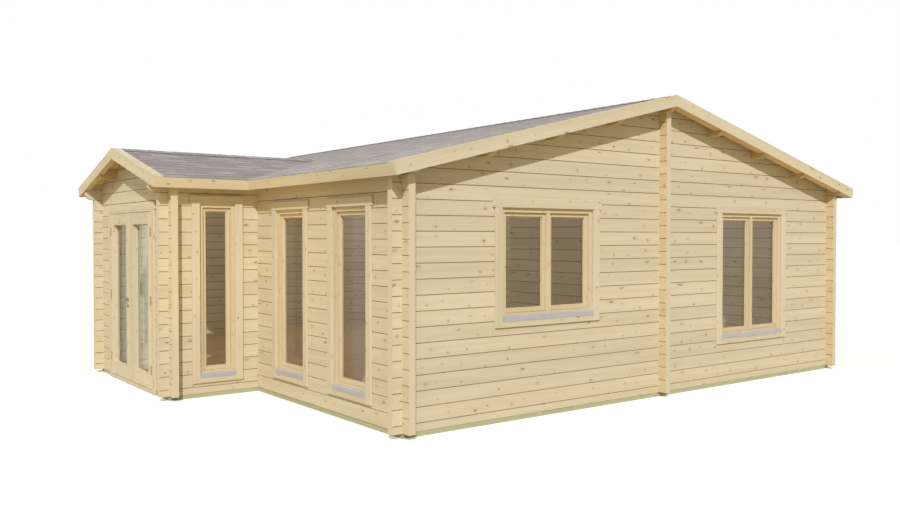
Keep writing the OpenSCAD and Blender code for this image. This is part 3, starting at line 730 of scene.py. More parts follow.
def bevel_edges(piece, chosen, width, segments):
    """Bevels the edges for which chosen says yes to their two end points."""
    only(piece)
    bpy.ops.object.mode_set(mode="EDIT")
    bpy.ops.mesh.select_mode(type="EDGE")
    bpy.ops.mesh.select_all(action="DESELECT")
    bpy.ops.object.mode_set(mode="OBJECT")
    for one in piece.data.edges:
        one.select = chosen(*(piece.data.vertices[i].co for i in one.vertices))
    bpy.ops.object.mode_set(mode="EDIT")
    bpy.ops.mesh.bevel(offset=width, segments=segments, affect="EDGES")
    bpy.ops.object.mode_set(mode="OBJECT")
    return piece


def board(low, high, ease=EASE):
    """A board with eased edges."""
    return bevel_edges(block(low, high), lambda a, b: True, ease, 1)


def join(pieces, name):
    """One object made of several."""
    bpy.ops.object.select_all(action="DESELECT")
    for piece in pieces:
        piece.select_set(True)
    bpy.context.view_layer.objects.active = pieces[0]
    if len(pieces) > 1:
        bpy.ops.object.join()
    made = bpy.context.object
    made.name = name
    made.data.name = name
    return made


def copy_of(piece):
    """A copy with a mesh of its own."""
    made = piece.copy()
    made.data = piece.data.copy()
    bpy.context.collection.objects.link(made)
    return made


def repeat(piece, count, step):
    """The piece, repeated in a row by an Array modifier that is applied."""
    only(piece)
    row = piece.modifiers.new("row", "ARRAY")
    row.count = count
    row.use_relative_offset = False
    row.use_constant_offset = True
    row.constant_offset_displace = step
    bpy.ops.object.modifier_apply(modifier=row.name)
    return piece


def put(piece, at, turn=(0, 0, 0)):
    """Turns and moves a piece, and leaves the place in its mesh."""
    only(piece)
    piece.rotation_euler = turn
    piece.location = at
    bpy.ops.object.transform_apply(location=True, rotation=True, scale=True)
    return piece


def cut_off(piece, at, out):
    """Cuts a piece off at a plane, keeping what lies against the direction out."""
    only(piece)
    bpy.ops.object.mode_set(mode="EDIT")
    bpy.ops.mesh.select_all(action="SELECT")
    bpy.ops.mesh.bisect(plane_co=at, plane_no=out, use_fill=True, clear_outer=True)
    bpy.ops.object.mode_set(mode="OBJECT")
    return piece


def finish(piece, name, material, slot, body, *nodes):
    """Names a finished piece, dresses it, ties it to its body and hides the nodes it stands for."""
    piece.name = name
    piece.data.name = name
    piece.data.materials.clear()
    piece.data.materials.append(material)
    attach(piece, body)
    if nodes:
        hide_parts(*nodes)
    print(f"{name}: {len(piece.data.polygons)} faces on {body}")


print("Shape helpers ready")

# %% [markdown]
# ## Grain on boards
# Every board gets a map of its own: one direction of the map follows its length in metres, with a
# random start, so that no two boards show the same stretch of grain. Each board also gets a tone, and
# the faces across its length are marked as end grain. The map is made while boards still lie straight.
# The number that is handed on with the boards only picks a row of random draws, so that every run of
# this lesson gives the same boards.

# %% Grain helpers
FLOOR_PINE = {"pale": rgb(0.640, 0.500, 0.300), "amber": rgb(0.520, 0.370, 0.190)}
GRAIN_SHIFT = 30
JOINERY_ROW = 0.09
BOARDING_ROW = 0.095
BOARD_KNOT_R = 0.012
FRAME_KNOT_R = 0.010


def face_array(mesh, what, kind, each=1):
    """One value of each face, or each few values, as an array."""
    values = np.empty(len(mesh.polygons) * each, kind)
    mesh.polygons.foreach_get(what, values)
    return values


def corner_points(mesh):
    """The number of the point at each corner of each face."""
    numbers = np.empty(len(mesh.loops), int)
    mesh.loops.foreach_get("vertex_index", numbers)
    return numbers


def keep_map(mesh, name, flat):
    """Keeps two numbers of each point in a map for the finish."""
    layer = mesh.uv_layers.new(name=name)
    layer.data.foreach_set("uv", flat[corner_points(mesh)].astype(np.float32).ravel())


def keep_on_faces(mesh, name, values):
    """Keeps one number of each face for the finish."""
    stored = mesh.attributes.new(name, "FLOAT", "FACE")
    stored.data.foreach_set("value", values.astype(np.float32))


def map_grain(piece, seed):
    """A map along each board's length, a tone for each board, and a mark on its end grain."""
    mesh = piece.data
    points, edges = mesh_arrays(mesh)
    label = islands(points, edges)
    normals = face_array(mesh, "normal", float, 3).reshape(-1, 3)
    face_label = label[corner_points(mesh)[face_array(mesh, "loop_start", int)]]
    chance = np.random.default_rng(seed)
    grain = np.zeros((len(points), 2))
    tint = np.zeros(len(mesh.polygons))
    end = np.zeros(len(mesh.polygons))
    for one in np.unique(label):
        mine = label == one
        size = points[mine].max(axis=0) - points[mine].min(axis=0)
        axis = int(size.argmax())
        start = chance.random(2) * GRAIN_SHIFT
        grain[mine, 0] = points[mine, axis] + start[0]
        grain[mine, 1] = points[mine].sum(axis=1) - points[mine, axis] + start[1]
        faces = face_label == one
        tint[faces] = chance.random()
        end[faces] = np.abs(normals[faces, axis]) > END_FACING
    keep_map(mesh, "grain", grain)
    keep_on_faces(mesh, "tint", tint)
    keep_on_faces(mesh, "end_grain", end)
    return piece


def board_finish(name, colours, row_h, knot_r):
    """Wood that reads each board's own map."""
    made, tree = new_material(name)
    along, across, _ = split(tree, add(tree, "ShaderNodeUVMap", uv_map="grain").outputs[0])
    tint, end = attribute(tree, "tint"), attribute(tree, "end_grain")
    wood(tree, along, across, 0.0, tint, end, colours, row_h, knot_r)
    return made


joinery_wood = board_finish("joinery_spruce", SPRUCE, JOINERY_ROW, BOARD_KNOT_R)
frame_wood = board_finish("frame_spruce", WARM_SPRUCE, JOINERY_ROW, FRAME_KNOT_R)
# The roof boards carry painted golden bounce light.
roof_wood = board_finish("roof_board_spruce", BOUNCE_PAINTED_SOFFIT_SPRUCE, BOARDING_ROW, BOARD_KNOT_R)
floor_wood = board_finish("floor_board_pine", FLOOR_PINE, BOARDING_ROW, BOARD_KNOT_R)
print("Board finishes ready")

# %% [markdown]
# ## Roof boards
# Under the shingles lie tongued boards from ridge to eaves, and their V joints show under the
# overhangs and from inside. One board is made flat, with its lower edges chamfered, repeated along the
# ridge, mapped, and tilted to the pitch. Over the annex the main slope stops at the front wall, so that
# stretch has shorter boards. On the annex the boards are cut where they meet the main roof.

# %% Roof helpers
ROOF_BOARD_W = 0.096
V_EDGE = 0.004
BOARD_GAP = 0.0006
QUARTER = math.pi / 2
SOUTH, NORTH = math.pi, 0.0
EAST, WEST = -QUARTER, QUARTER


def board_field(x0, x1, length):
    """Roof boards side by side from x0 to x1, along Y, with their long lower edges chamfered."""
    count = max(1, round((x1 - x0) / ROOF_BOARD_W))
    width = (x1 - x0) / count
    first = block((BOARD_GAP / 2, 0, 0), (width - BOARD_GAP / 2, length, BOARD_T))
    bevel_edges(first, lambda a, b: max(a.z, b.z) < V_EDGE and abs(a.y - b.y) > length / 2, V_EDGE, 1)
    return put(repeat(first, count, (width, 0, 0)), (x0, 0, 0))


def on_slope(piece, slope, ridge_x, ridge_y, heading):
    """Tilts a flat field, which falls along +Y from its ridge, to a roof's pitch and heading."""
    return put(piece, (ridge_x, ridge_y, slope["ridge_z"]), (-slope["pitch"], 0, heading))


def on_main(piece, heading):
    return on_slope(piece, main_roof, 0, y_ridge, heading)


def on_annex(piece, heading):
    return on_slope(piece, annex_roof, x_annex, y_verge, heading)


def cut_at_main_roof(piece):
    """Cuts away what lies below the top of the main roof's front slope."""
    top = main_roof["ridge_z"] + SKIN_T / math.cos(MAIN_PITCH)
    return cut_off(piece, (0, y_ridge, top), (0, math.sin(MAIN_PITCH), -math.cos(MAIN_PITCH)))


annex_half = (annex_w + LOG_T) / 2
notch_l = (y_ridge - y_front + LOG_T / 2) / math.cos(MAIN_PITCH)
notch_from, notch_to = -x_annex - annex_half, -x_annex + annex_half
print(f"The front slope is {notch_l:.3f} long over the annex")

# %% Make the roof boards
front_boards = join([
    board_field(-x_verge, notch_from, main_roof["slope_l"]),
    board_field(notch_from, notch_to, notch_l),
    board_field(notch_to, x_verge, main_roof["slope_l"]),
], "front_boards")
on_main(map_grain(front_boards, 11), SOUTH)
finish(front_boards, "front_roof_boarding", roof_wood, "spruce", "house", "front_roof_boards")

back_boards = board_field(-x_verge, x_verge, main_roof["slope_l"])
on_main(map_grain(back_boards, 12), NORTH)
finish(back_boards, "back_roof_boarding", roof_wood, "spruce", "house", "back_roof_boards")

annex_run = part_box("annex_roof_boards")[1].y - y_verge
annex_fields = []
for heading, x0, seed in ((EAST, -annex_run, 13), (WEST, 0.0, 14)):
    field = map_grain(board_field(x0, x0 + annex_run, annex_roof["slope_l"]), seed)
    annex_fields.append(cut_at_main_roof(on_annex(field, heading)))
annex_boards = join(annex_fields, "annex_boards")
finish(annex_boards, "annex_roof_boarding", roof_wood, "spruce", "house", "annex_roof_boards")

# %% [markdown]
# ## Verge battens
# Behind each barge board a batten closes the corner under the roof boards, cut to fit between the
# purlins. Its underside, in the roof boards' finish with the golden bounce light painted in, is the warm
# strip that shows along the lower edge of a barge. The battens are made flat on the same slope as the
# boards, so one tilt puts them against both.

# %% Make the verge battens
BATTEN_W = 0.090
ANNEX_BATTEN_W = 0.045
BATTEN_H = BARGE_H - SKIN_T
BATTEN_CLEAR = 0.0005
BATTEN_SEED = 15
MAIN_PURLINS = (0, 0.25, 0.5, 0.75, 1)
ANNEX_PURLINS = (0, 0.5, 1)


def battens(slope, half_span, purlins, x0, x1):
    """Battens down a flat slope: one below each purlin, as far as the next one or the fascia."""
    cos, sin = math.cos(slope["pitch"]), math.sin(slope["pitch"])
    made = []
    for number, share in enumerate(purlins):
        start = (share * half_span + LOG_T / 2 + BATTEN_H * sin) / cos
        stop = slope["slope_l"]
        if share != purlins[-1]:
            stop = (purlins[number + 1] * half_span - LOG_T / 2) / cos
        made.append(board((x0, start, -BATTEN_H), (x1, stop - BATTEN_CLEAR, -BATTEN_CLEAR)))
    return join(made, "battens")


inner, outer = x_verge - BATTEN_W, x_verge - BATTEN_CLEAR
rows = []
for heading in (SOUTH, NORTH):
    for x0, x1 in ((inner, outer), (-outer, -inner)):
        row = battens(main_roof, (y_back - y_front) / 2, MAIN_PURLINS, x0, x1)
        rows.append(on_main(map_grain(row, BATTEN_SEED + len(rows)), heading))
for heading, x0, x1 in ((EAST, -ANNEX_BATTEN_W, -BATTEN_CLEAR), (WEST, BATTEN_CLEAR, ANNEX_BATTEN_W)):
    row = battens(annex_roof, annex_w / 2, ANNEX_PURLINS, x0, x1)
    rows.append(on_annex(map_grain(row, BATTEN_SEED + len(rows)), heading))
finish(join(rows, "battens"), "verge_battens", roof_wood, "spruce", "house")

# %% [markdown]
# ## Shingles
# The roofs are covered with strips of bitumen shingles. One tab is a thin wedge with rounded lower
# corners. Array modifiers make a course, a second course is set half a tab aside, and the pair is
# repeated up the slope. Each tab gets a tone of its own, because the mineral grit is mixed by batch,
# and the annex's tabs are darker. A tab reaches two courses up, so that no slit shows the boards, and
# a felt underlay lies below all.

# %% Shingle helpers
TAB_W = 0.333
TAB_EXPOSED = 0.143
TAB_L = TAB_EXPOSED * 2
TAB_T = 0.003
TAB_SLIT = 0.006
TAB_CORNER = 0.012
TAB_LIFT = 0.0064
FELT_T = 0.0015
MAIN_TONES = (0.3, 1.3)
ANNEX_TONES = (-0.75, 0.25)


def shingle_tab():
    """One tab along Y, its butt at y 0 and its head up the slope, resting on two courses."""
    made = block((TAB_SLIT / 2, -TAB_L, 0), (TAB_W - TAB_SLIT / 2, 0, TAB_T))
    for point in made.data.vertices:
        if point.co.y > -TAB_T:
            point.co.z += TAB_LIFT
    return bevel_edges(made, lambda a, b: (a.xy - b.xy).length < TAB_T and a.y > -TAB_T, TAB_CORNER, 2)


def tone_each(piece, faces_each, tones, seed):
    """A random tone for each of the tabs in a piece."""
    count = len(piece.data.polygons) // faces_each
    tone = np.random.default_rng(seed).uniform(*tones, count)
    keep_on_faces(piece.data, "tint", np.repeat(tone, faces_each))


def keep_flat_map(piece):
    """Keeps the flat coordinates in a map for the finish, before the piece is tilted or folded."""
    keep_map(piece.data, "slope", mesh_arrays(piece.data)[0][:, :2])
    return piece


def shingle_field(x0, x1, length, seed, stop=None, tones=MAIN_TONES):
    """Courses of tabs over a flat slope that falls along +Y, cut off at its edges or at a stop."""
    tab = shingle_tab()
    faces_per_tab = len(tab.data.polygons)
    first = (math.floor(x0 / TAB_W) - 1) * TAB_W
    tabs = math.ceil((x1 - first) / TAB_W) + 1
    courses = math.ceil(length / TAB_EXPOSED) + 1
    odd = repeat(tab, tabs, (TAB_W, 0, 0))
    even = put(copy_of(odd), (TAB_W / 2, -TAB_EXPOSED, 0))
    pair = repeat(join([odd, even], "courses"), math.ceil(courses / 2), (0, -TAB_L, 0))
    tone_each(pair, faces_per_tab, tones, seed)
    put(pair, (first, length, FELT_T))
    cut_off(pair, (x0, 0, 0), (-1, 0, 0))
    cut_off(pair, (x1, 0, 0), (1, 0, 0))
    cut_off(pair, (0, 0, 0), (0, -1, 0))
    if stop is not None:
        cut_off(pair, (0, stop, 0), (0, 1, 0))
    felt = board((x0, 0, 0), (x1, stop or length, FELT_T), FELT_T / 4)
    felt.data.attributes.new("tint", "FLOAT", "FACE")
    return keep_flat_map(put(join([pair, felt], "shingles"), (0, 0, BOARD_T)))


print("Shingle courses of", TAB_EXPOSED, "m, tabs of", TAB_W, "m")

# %% [markdown]
# ## Mineral grit
# The grit on a shingle is a mix of grey and brown grains. From a few steps away it reads as streaks
# along the courses, and close up as a speckle with a rough surface. The streaks read the flat map that
# was kept from the slope, so they run along the courses on every roof. The cut edges carry no grit and
# show the darker bitumen, and a face counts as an edge where it doesn't look up. That darker colour on
# every face that doesn't look up is also painted shade, which keeps the sunlit sides and rounded
# corners of the tabs from showing as bright lines.

# %% Shingle finish
GRIT_DARK = rgb(0.300, 0.266, 0.268)
GRIT_PALE = rgb(0.630, 0.596, 0.602)
CUT_EDGE_AND_PAINTED_SHADE = rgb(0.270, 0.240, 0.243)
LOOKS_UP = 0.85
STREAKS_ALONG = 5.0
STREAKS_ACROSS = 42.0
TAB_SHARE = 0.45
STREAK_SHARE = 0.45
GRIT_SHARE = 0.10
GRIT_SCALE = 420.0
GRIT_ROUGH = 0.92
GRIT_BUMP = 0.5
GRIT_BUMP_H = 0.0012
GRIT_SHINE = 0.25

shingle_finish, tree = new_material("bitumen_shingles")
flat = add(tree, "ShaderNodeUVMap", uv_map="slope").outputs[0]
u, v, _ = split(tree, flat)
tint = attribute(tree, "tint")
streak_place = vector(tree, times(tree, u, STREAKS_ALONG), times(tree, v, STREAKS_ACROSS), tint)
streak = noise(tree, streak_place, detail=3.0)
grit = noise(tree, flat, GRIT_SCALE, 1.0)
mix = plus(tree, times(tree, tint, TAB_SHARE), remap(tree, streak, 0.3, 0.7, 0.0, STREAK_SHARE))
mix = plus(tree, mix, remap(tree, grit, 0.3, 0.7, -GRIT_SHARE, GRIT_SHARE))
colour = blend(tree, mix, GRIT_DARK, GRIT_PALE)
up = split(tree, add(tree, "ShaderNodeTexCoord").outputs["Normal"])[2]
# Darker bitumen on the cut edges, and painted shade on every face that doesn't look up.
colour = blend(tree, calc(tree, "LESS_THAN", up, LOOKS_UP), colour, CUT_EDGE_AND_PAINTED_SHADE)
surface(tree, colour, GRIT_ROUGH, grit, GRIT_BUMP, GRIT_BUMP_H, GRIT_SHINE)
print("Shingle finish ready")

# %% [markdown]
# ## Laying the shingles
# The slopes are covered as the boards were laid. The front one has three fields, because the middle one
# stops where the annex begins, and both sides of the annex are cut along the valley where they run into
# the main roof. A field is made flat and tilted whole, which keeps its courses straight.

# %% Lay the shingles
front_courses = join([
    shingle_field(-x_verge, notch_from, main_roof["slope_l"], 21),
    shingle_field(notch_from, notch_to, main_roof["slope_l"], 25, stop=notch_l),
    shingle_field(notch_to, x_verge, main_roof["slope_l"], 26),
], "front_tabs")
on_main(front_courses, SOUTH)
finish(front_courses, "front_shingle_courses", shingle_finish, "shingles", "house", "front_shingles")

back_courses = on_main(shingle_field(-x_verge, x_verge, main_roof["slope_l"], 22), NORTH)
finish(back_courses, "back_shingle_courses", shingle_finish, "shingles", "house", "back_shingles")

annex_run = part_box("annex_shingles")[1].y - y_verge
annex_fields = []
for heading, x0, seed in ((EAST, -annex_run, 23), (WEST, 0.0, 24)):
    field = shingle_field(x0, x0 + annex_run, annex_roof["slope_l"], seed, tones=ANNEX_TONES)
    annex_fields.append(cut_at_main_roof(on_annex(field, heading)))
annex_courses = join(annex_fields, "annex_tabs")
finish(annex_courses, "annex_shingle_courses", shingle_finish, "shingles", "house", "annex_shingles")

# %% [markdown]
# ## Ridge caps
# Single tabs folded over the ridge close the gap between two slopes. One cap is a thin plate that is
# cut along the middle, so that it can fold there, and its two sides are lowered to the pitch. An array
# lays the caps over each other along the ridge, each with its front edge on the one before.

# %% Make the ridge caps
CAP_HALF = 0.125
CAP_CLEAR = 0.0115


def ridge_caps(x0, x1, slope, seed, tones):
    """Caps along X over a ridge at the origin, folded to a roof's pitch."""
    cap = block((0, -CAP_HALF, 0), (TAB_L, CAP_HALF, TAB_T))
    bpy.ops.object.mode_set(mode="EDIT")
    bpy.ops.mesh.select_all(action="SELECT")
    bpy.ops.mesh.bisect(plane_co=(0, 0, 0), plane_no=(0, 1, 0))
    bpy.ops.object.mode_set(mode="OBJECT")
    for point in cap.data.vertices:
        if point.co.x > TAB_EXPOSED:
            point.co.z += TAB_LIFT
    faces_per_cap = len(cap.data.polygons)
    row = repeat(cap, math.ceil((x1 - x0) / TAB_EXPOSED) + 1, (TAB_EXPOSED, 0, 0))
    tone_each(row, faces_per_cap, tones, seed)
    put(row, (x0 - TAB_EXPOSED, 0, 0))
    cut_off(row, (x0, 0, 0), (-1, 0, 0))
    cut_off(row, (x1, 0, 0), (1, 0, 0))
    keep_flat_map(row)
    fall = math.tan(slope["pitch"])
    for point in row.data.vertices:
        point.co.z -= abs(point.co.y) * fall
    return row


def cap_z(slope):
    """Height of the caps' fold over the shingles."""
    return slope["ridge_z"] + (BOARD_T + CAP_CLEAR) / math.cos(slope["pitch"])


trim_east, trim_west = sorted(solid_boxes("main_verge_trims"), key=lambda one: -one[0].x)
main_caps = ridge_caps(trim_west[1].x, trim_east[0].x, main_roof, 31, MAIN_TONES)
put(main_caps, (0, y_ridge, cap_z(main_roof)))
annex_from, annex_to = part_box("annex_shingles")[1].y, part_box("annex_verge_trims")[1].y
annex_caps = ridge_caps(-annex_from, -annex_to, annex_roof, 32, ANNEX_TONES)
cut_at_main_roof(put(annex_caps, (x_annex, 0, cap_z(annex_roof)), (0, 0, EAST)))
finish(join([main_caps, annex_caps], "ridge_tabs"), "ridge_caps", shingle_finish, "shingles", "house")

# %% [markdown]
# ## Windows
# A window is a frame in the wall's opening, with one or two sashes set back in it and a small bead in
# front of the glass. Each part is four boards: two uprights of the full height and two rails between
# them, as a joiner cuts them. Every size of window is built once, lying at the origin with its outside
# toward -Y, and its copies are turned and moved to the openings that the CAD frames show.

# %% Window helpers
FRAME_W = 0.042
SASH_W = 0.036
SASH_BACK = 0.022
SASH_D = 0.040
SASH_GAP = 0.0015
BEAD = 0.009
GLASS_AT = 0.046


def ring_boards(x0, x1, z0, z1, width, y0, y1):
    """Four boards round an opening, drawn inside an outline in X and Z."""
    return [
        board((x0, y0, z0), (x0 + width, y1, z1)),
        board((x1 - width, y0, z0), (x1, y1, z1)),
        board((x0 + width, y0, z0), (x1 - width, y1, z0 + width)),
        board((x0 + width, y0, z1 - width), (x1 - width, y1, z1)),
    ]


def window(width, height, depth, sashes, seed):
    """Frame, sashes and beads, with the foot at z 0 and the frame's face at y 0."""
    boards = ring_boards(-width / 2, width / 2, 0, height, FRAME_W, 0, depth)
    sash_l = (width - FRAME_W * (sashes + 1)) / sashes
    low, high = FRAME_W, height - FRAME_W
    for i in range(sashes):
        x0 = FRAME_W - width / 2 + i * (sash_l + FRAME_W)
        x1 = x0 + sash_l
        if i > 0:
            boards.append(board((x0 - FRAME_W, 0, low), (x0, depth, high)))
        boards += ring_boards(x0 + SASH_GAP, x1 - SASH_GAP, low + SASH_GAP, high - SASH_GAP,
                              SASH_W - SASH_GAP, SASH_BACK, SASH_BACK + SASH_D)
        boards += ring_boards(x0 + SASH_W, x1 - SASH_W, low + SASH_W, high - SASH_W,
                              BEAD, GLASS_AT - BEAD, GLASS_AT)
    return map_grain(join(boards, "window"), seed)


def opening_of(box, turn):
    """Middle of an opening's foot on the frame's face, with the opening's width and height."""
    low, high = box
    mid = (low + high) / 2
    if turn == 0:
        return (mid.x, low.y, low.z), high.x - low.x, high.z - low.z
    face = high.x if turn > 0 else low.x
    return (face, mid.y, low.z), high.y - low.y, high.z - low.z


print("Window helpers ready")

# %% Make the windows
FRAME_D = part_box("front_window_frames")[1].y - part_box("front_window_frames")[0].y
WINDOW_SEED = 40
openings = []
for node, sashes in (("gable_window_frames", 2), ("front_window_frames", 1), ("annex_window_frames", 1)):
    made = {}
    pieces = []
    for box in solid_boxes(node):
        turn = 0.0
        if node != "front_window_frames":
            turn = QUARTER if box[0].x > x_annex else -QUARTER
        foot, width, height = opening_of(box, turn)
        openings.append((foot, width, height, turn))
        size = (round(width, 3), round(height, 3))
        if size not in made:
            made[size] = window(width, height, FRAME_D, sashes, WINDOW_SEED + len(openings))
        pieces.append(put(copy_of(made[size]), foot, (0, 0, turn)))
    for pattern in made.values():
        bpy.data.objects.remove(pattern)
    finish(join(pieces, node), node.replace("frames", "joinery"), frame_wood, "spruce", "house", node)
print("Openings:", len(openings))

# %% [markdown]
# ## Casings
# Flat boards cover the gap between frame and logs: two sides, a foot, and a head with small ears. They
# lie on the face of the logs, a little in front of the frame. The doorway has the same casing without
# a foot, reaching down over the threshold's ends.

# %% Make the casings
TRIM_W = 0.084
TRIM_T = 0.020
TRIM_EAR = 0.026
TRIM_EASE = 0.003
FRAME_BACK = 0.008
CASING_SEED = 60
DOOR_CASING_SEED = 70


def casing(width, height, foot, seed, with_foot_board):
    """Casing boards round an opening, with their backs at y 0."""
    half = width / 2
    side = half + TRIM_W
    head = side + TRIM_EAR
    outlines = [(-side, -foot, -half, height), (half, -foot, side, height),
                (-head, height, head, height + TRIM_W)]
    if with_foot_board:
        outlines.append((-half, -foot, half, 0))
    boards = [board((x0, -TRIM_T, z0), (x1, 0, z1), TRIM_EASE) for x0, z0, x1, z1 in outlines]
    return map_grain(join(boards, "casing"), seed)


casings = []
for i, (foot, width, height, turn) in enumerate(openings):
    out = Vector((math.sin(turn), -math.cos(turn), 0)) * FRAME_BACK
    made = casing(width, height, TRIM_W, CASING_SEED + i, True)
    casings.append(put(made, Vector(foot) + out, (0, 0, turn)))
finish(join(casings, "casings"), "window_casings", joinery_wood, "spruce", "house", "window_trims")

low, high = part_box("door_trim")
doorway_w = high.x - low.x - 2 * (TRIM_W + TRIM_EAR)
doorway_h = high.z - TRIM_W - z_sill
door_casing = casing(doorway_w, doorway_h, z_sill - low.z, DOOR_CASING_SEED, False)
put(door_casing, (x_annex, high.y, z_sill))
finish(door_casing, "door_casing", joinery_wood, "spruce", "house", "door_trim")

# %% [markdown]
# ## Door leaves
# A glazed leaf has a narrow stile at its hinges, a wider one where the leaves meet, and two rails. The
# glass stands far back, which gives the opening a deep edge. The meeting edge slants away at the back,
# so that one leaf can swing past the other, and that slant is made by moving the back edge's points.

# %% Make the door leaves
STILE_W = 0.130
HINGE_STILE_W = 0.090
TOP_RAIL_H = 0.131
BOTTOM_RAIL_H = 0.145
MEETING_SLANT = 0.00612
DOOR_GLASS_AT = 0.052


def slant_back(piece, edge_x, back_y, shift):
    """Moves the points of an upright's back edge sideways."""
    only(piece)
    bpy.ops.object.mode_set(mode="EDIT")
    bpy.ops.mesh.select_mode(type="VERT")
    bpy.ops.mesh.select_all(action="DESELECT")
    bpy.ops.object.mode_set(mode="OBJECT")
    for point in piece.data.vertices:
        point.select = abs(point.co.x - edge_x) < 2 * EASE and abs(point.co.y - back_y) < 2 * EASE
    bpy.ops.object.mode_set(mode="EDIT")
    bpy.ops.transform.translate(value=(shift, 0, 0))
    bpy.ops.object.mode_set(mode="OBJECT")


def door_leaf(node, hinges_west, seed):
    """Stiles, rails and beads of the leaf that fills a CAD node's box."""
    low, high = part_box(node)
    left, right = (HINGE_STILE_W, STILE_W) if hinges_west else (STILE_W, HINGE_STILE_W)
    x0, x1 = low.x + left, high.x - right
    z0, z1 = low.z + BOTTOM_RAIL_H, high.z - TOP_RAIL_H
    west = board(low, (x0, high.y, high.z))
    east = board((x1, low.y, low.z), high)
    if hinges_west:
        slant_back(east, high.x, high.y, -MEETING_SLANT)
    else:
        slant_back(west, low.x, high.y, MEETING_SLANT)
    boards = [
        west, east,
        board((x0, low.y, low.z), (x1, high.y, z0)),
        board((x0, low.y, z1), (x1, high.y, high.z)),
    ]
    glass_y = low.y + DOOR_GLASS_AT
    boards += ring_boards(x0, x1, z0, z1, BEAD, glass_y - BEAD, glass_y)
    return map_grain(join(boards, node), seed)


west_leaf = door_leaf("door_leaf_west", True, 81)
finish(west_leaf, "west_leaf_joinery", joinery_wood, "spruce", "west_leaf", "door_leaf_west")
east_leaf = door_leaf("door_leaf_east", False, 82)
finish(east_leaf, "east_leaf_joinery", joinery_wood, "spruce", "east_leaf", "door_leaf_east")

# %% [markdown]
# ## Hinges
# Each leaf hangs on three hinges: a round knuckle on the axis and a screwed plate on the face. The
# plates get rounded corners by bevelling the four edges that run through them. The halves on the frame
# stay with the house, and the halves on a leaf swing with it.

# %% Make the hinges
ROUND_SIDES = 24
NEAR = 1e-5
PIN_R = 0.007
PIN_ROUND = 0.0015
PLATE_T = 0.003
PLATE_CORNER = 0.004
SCREW_R = 0.0042
SCREW_ROUND = 0.0008
SCREW_SUNK = 0.001
SCREW_OUT = 0.0012
SCREW_SHARES = (0.25, 0.75)
HINGE_TALLEST = 0.1


def plate(low, high, corner):
    """A flat plate that faces along Y, with rounded corners."""
    return bevel_edges(block(low, high),
                       lambda a, b: abs(a.y - b.y) > NEAR and (a.xz - b.xz).length < NEAR, corner, 4)


def rod(start, stop, radius, rounding):
    """A round bar between two points, with its rims rounded."""
    start, stop = Vector(start), Vector(stop)
    run = stop - start
    half = run.length / 2
    bpy.ops.object.select_all(action="DESELECT")
    bpy.ops.mesh.primitive_cylinder_add(vertices=ROUND_SIDES, radius=radius, depth=run.length)
    made = bevel_edges(bpy.context.object,
                       lambda a, b: abs(a.z - b.z) < NEAR and abs(abs(a.z) - half) < NEAR, rounding, 3)
    return put(made, (start + stop) / 2, run.to_track_quat("Z", "Y").to_euler())


def toward_middle(low, high):
    """1 for a solid west of the doorway's middle, -1 for one east of it."""
    return 1 if (low.x + high.x) / 2 < x_annex else -1


def hinge_set(node, plates_inward):
    """All hinge halves of a node, with plates toward the doorway's middle or away from it."""
    pieces = []
    for low, high in solid_boxes(node):
        if high.z - low.z > HINGE_TALLEST:
            continue
        side = toward_middle(low, high) * plates_inward
        axis_x = low.x + PIN_R if side > 0 else high.x - PIN_R
        axis_y = low.y + PIN_R
        face = high.y - PLATE_T
        pieces.append(rod((axis_x, axis_y, low.z), (axis_x, axis_y, high.z), PIN_R, PIN_ROUND))
        x0, x1 = (axis_x, high.x) if side > 0 else (low.x, axis_x)
        pieces.append(plate((x0, face, low.z), (x1, high.y, high.z), PLATE_CORNER))
        mid_x = (axis_x + side * PIN_R + (x1 if side > 0 else x0)) / 2
        for share in SCREW_SHARES:
            z = low.z + (high.z - low.z) * share
            sunk, head = (mid_x, face + SCREW_SUNK, z), (mid_x, face - SCREW_OUT, z)
            pieces.append(rod(sunk, head, SCREW_R, SCREW_ROUND))
    return pieces


frame_hinges = join(hinge_set("door_hinge_pins", -1), "frame_hinges")
finish(frame_hinges, "frame_hinge_plates", zinc, "steel", "house", "door_hinge_pins")
for side, body in (("west", "west_leaf"), ("east", "east_leaf")):
    hinges = join(hinge_set("door_fittings_" + side, 1), side + "_hinges")
    finish(hinges, side + "_leaf_hinges", zinc, "steel", body, "door_fittings_" + side)

# %% [markdown]
# ## Lever
# The leaf that opens first has a lever on both faces: a round rose, a neck, an arm with a rounded end,
# and a key plate below. All of it is round bars, put together inside the box of the plain CAD lever,
# with a keyhole cover of a short bar and a small plate.

# %% Make the lever
LEVER_PLATE_T = 0.008
LEVER_PLATE_H = 0.230
LEVER_R = 0.009
NECK_ROUND = 0.003
ARM_ROUND = 0.004
ROSE_R = 0.021
ROSE_ROUND = 0.002
KEY_DROP = 0.072
KEY_RISE = 0.008
KEY_FOOT = 0.016
KEY_OUT = 0.003
KEY_R = 0.0085
KEY_ROUND = 0.001
KEY_HALF_W = 0.005
KEY_CORNER = 0.0045


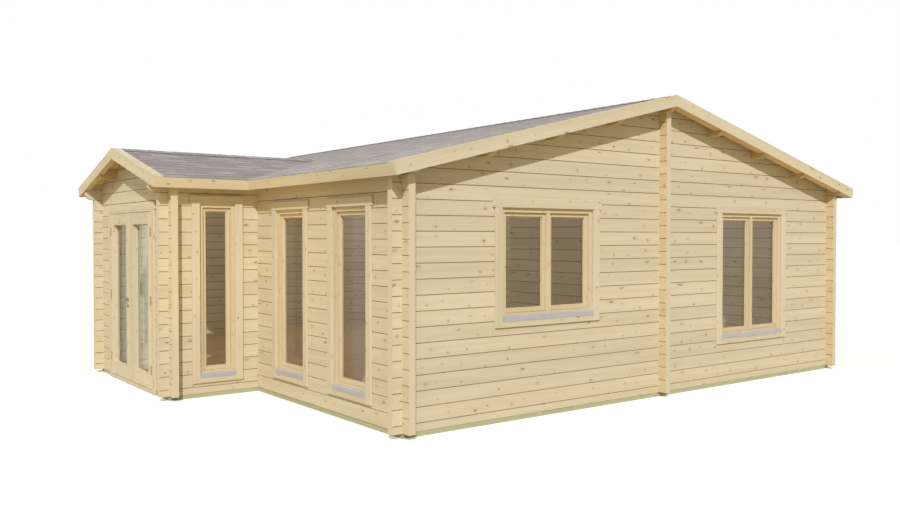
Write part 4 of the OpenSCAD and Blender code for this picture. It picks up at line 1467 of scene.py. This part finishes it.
def lever(box, front):
    """Round rose, neck, arm and key plate of one lever, inside a CAD lever's box."""
    low, high = box
    out = -1 if front else 1
    face = high.y if front else low.y
    plate_y = face + out * LEVER_PLATE_T
    key_y = plate_y + out * KEY_OUT
    mid_x = high.x - ROSE_R
    arm_z = high.z - LEVER_PLATE_H / 3
    tip_y = (low.y if front else high.y) - out * LEVER_R
    drop_z = arm_z - KEY_DROP
    key_z = drop_z + KEY_RISE
    return [
        rod((mid_x, face, arm_z), (mid_x, plate_y, arm_z), ROSE_R, ROSE_ROUND),
        rod((mid_x, face, arm_z), (mid_x, tip_y + out * LEVER_R, arm_z), LEVER_R, NECK_ROUND),
        rod((mid_x + LEVER_R, tip_y, arm_z), (low.x, tip_y, arm_z), LEVER_R, ARM_ROUND),
        rod((mid_x, face, drop_z), (mid_x, plate_y, drop_z), ROSE_R, ROSE_ROUND),
        rod((mid_x, face, key_z), (mid_x, key_y, key_z), KEY_R, KEY_ROUND),
        plate((mid_x - KEY_HALF_W, min(face, key_y), drop_z - KEY_FOOT),
              (mid_x + KEY_HALF_W, max(face, key_y), key_z), KEY_CORNER),
    ]


boxes = [box for box in solid_boxes("door_fittings_west") if box[1].z - box[0].z > HINGE_TALLEST]
front_box, back_box = sorted(boxes, key=lambda box: box[0].y)
lever_set = join(lever(front_box, True) + lever(back_box, False), "levers")
finish(lever_set, "west_leaf_lever", steel, "steel", "west_leaf")

# %% [markdown]
# ## Floors
# Tongued floor boards run from front to back. One board is made with eased edges and repeated over a
# room's width. The partition stands on the bearers between the boards of the two rooms, so the main
# floor is laid as three fields around it.

# %% Make the floors
FLOOR_BOARD_W = 0.096


def floor_field(low, high):
    """Boards along Y that fill a box."""
    count = max(1, round((high[0] - low[0]) / FLOOR_BOARD_W))
    width = (high[0] - low[0]) / count
    first = board((low[0] + BOARD_GAP, low[1], low[2]), (low[0] + width, high[1], high[2]))
    return repeat(first, count, (width, 0, 0))


low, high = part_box("main_floor")
part_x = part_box("partition_wall")[0].x
main_floor = join([
    floor_field(low, (part_x, high.y, high.z)),
    floor_field((part_x, low.y, low.z), (high.x, y_ridge - LOG_T / 2, high.z)),
    floor_field((part_x, y_ridge + LOG_T / 2, low.z), high),
], "main_floor_fields")
map_grain(main_floor, 91)
finish(main_floor, "main_floor_boards", floor_wood, "floor_boards", "house", "main_floor")
annex_floor = map_grain(floor_field(*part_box("annex_floor")), 92)
finish(annex_floor, "annex_floor_boards", floor_wood, "floor_boards", "house", "annex_floor")
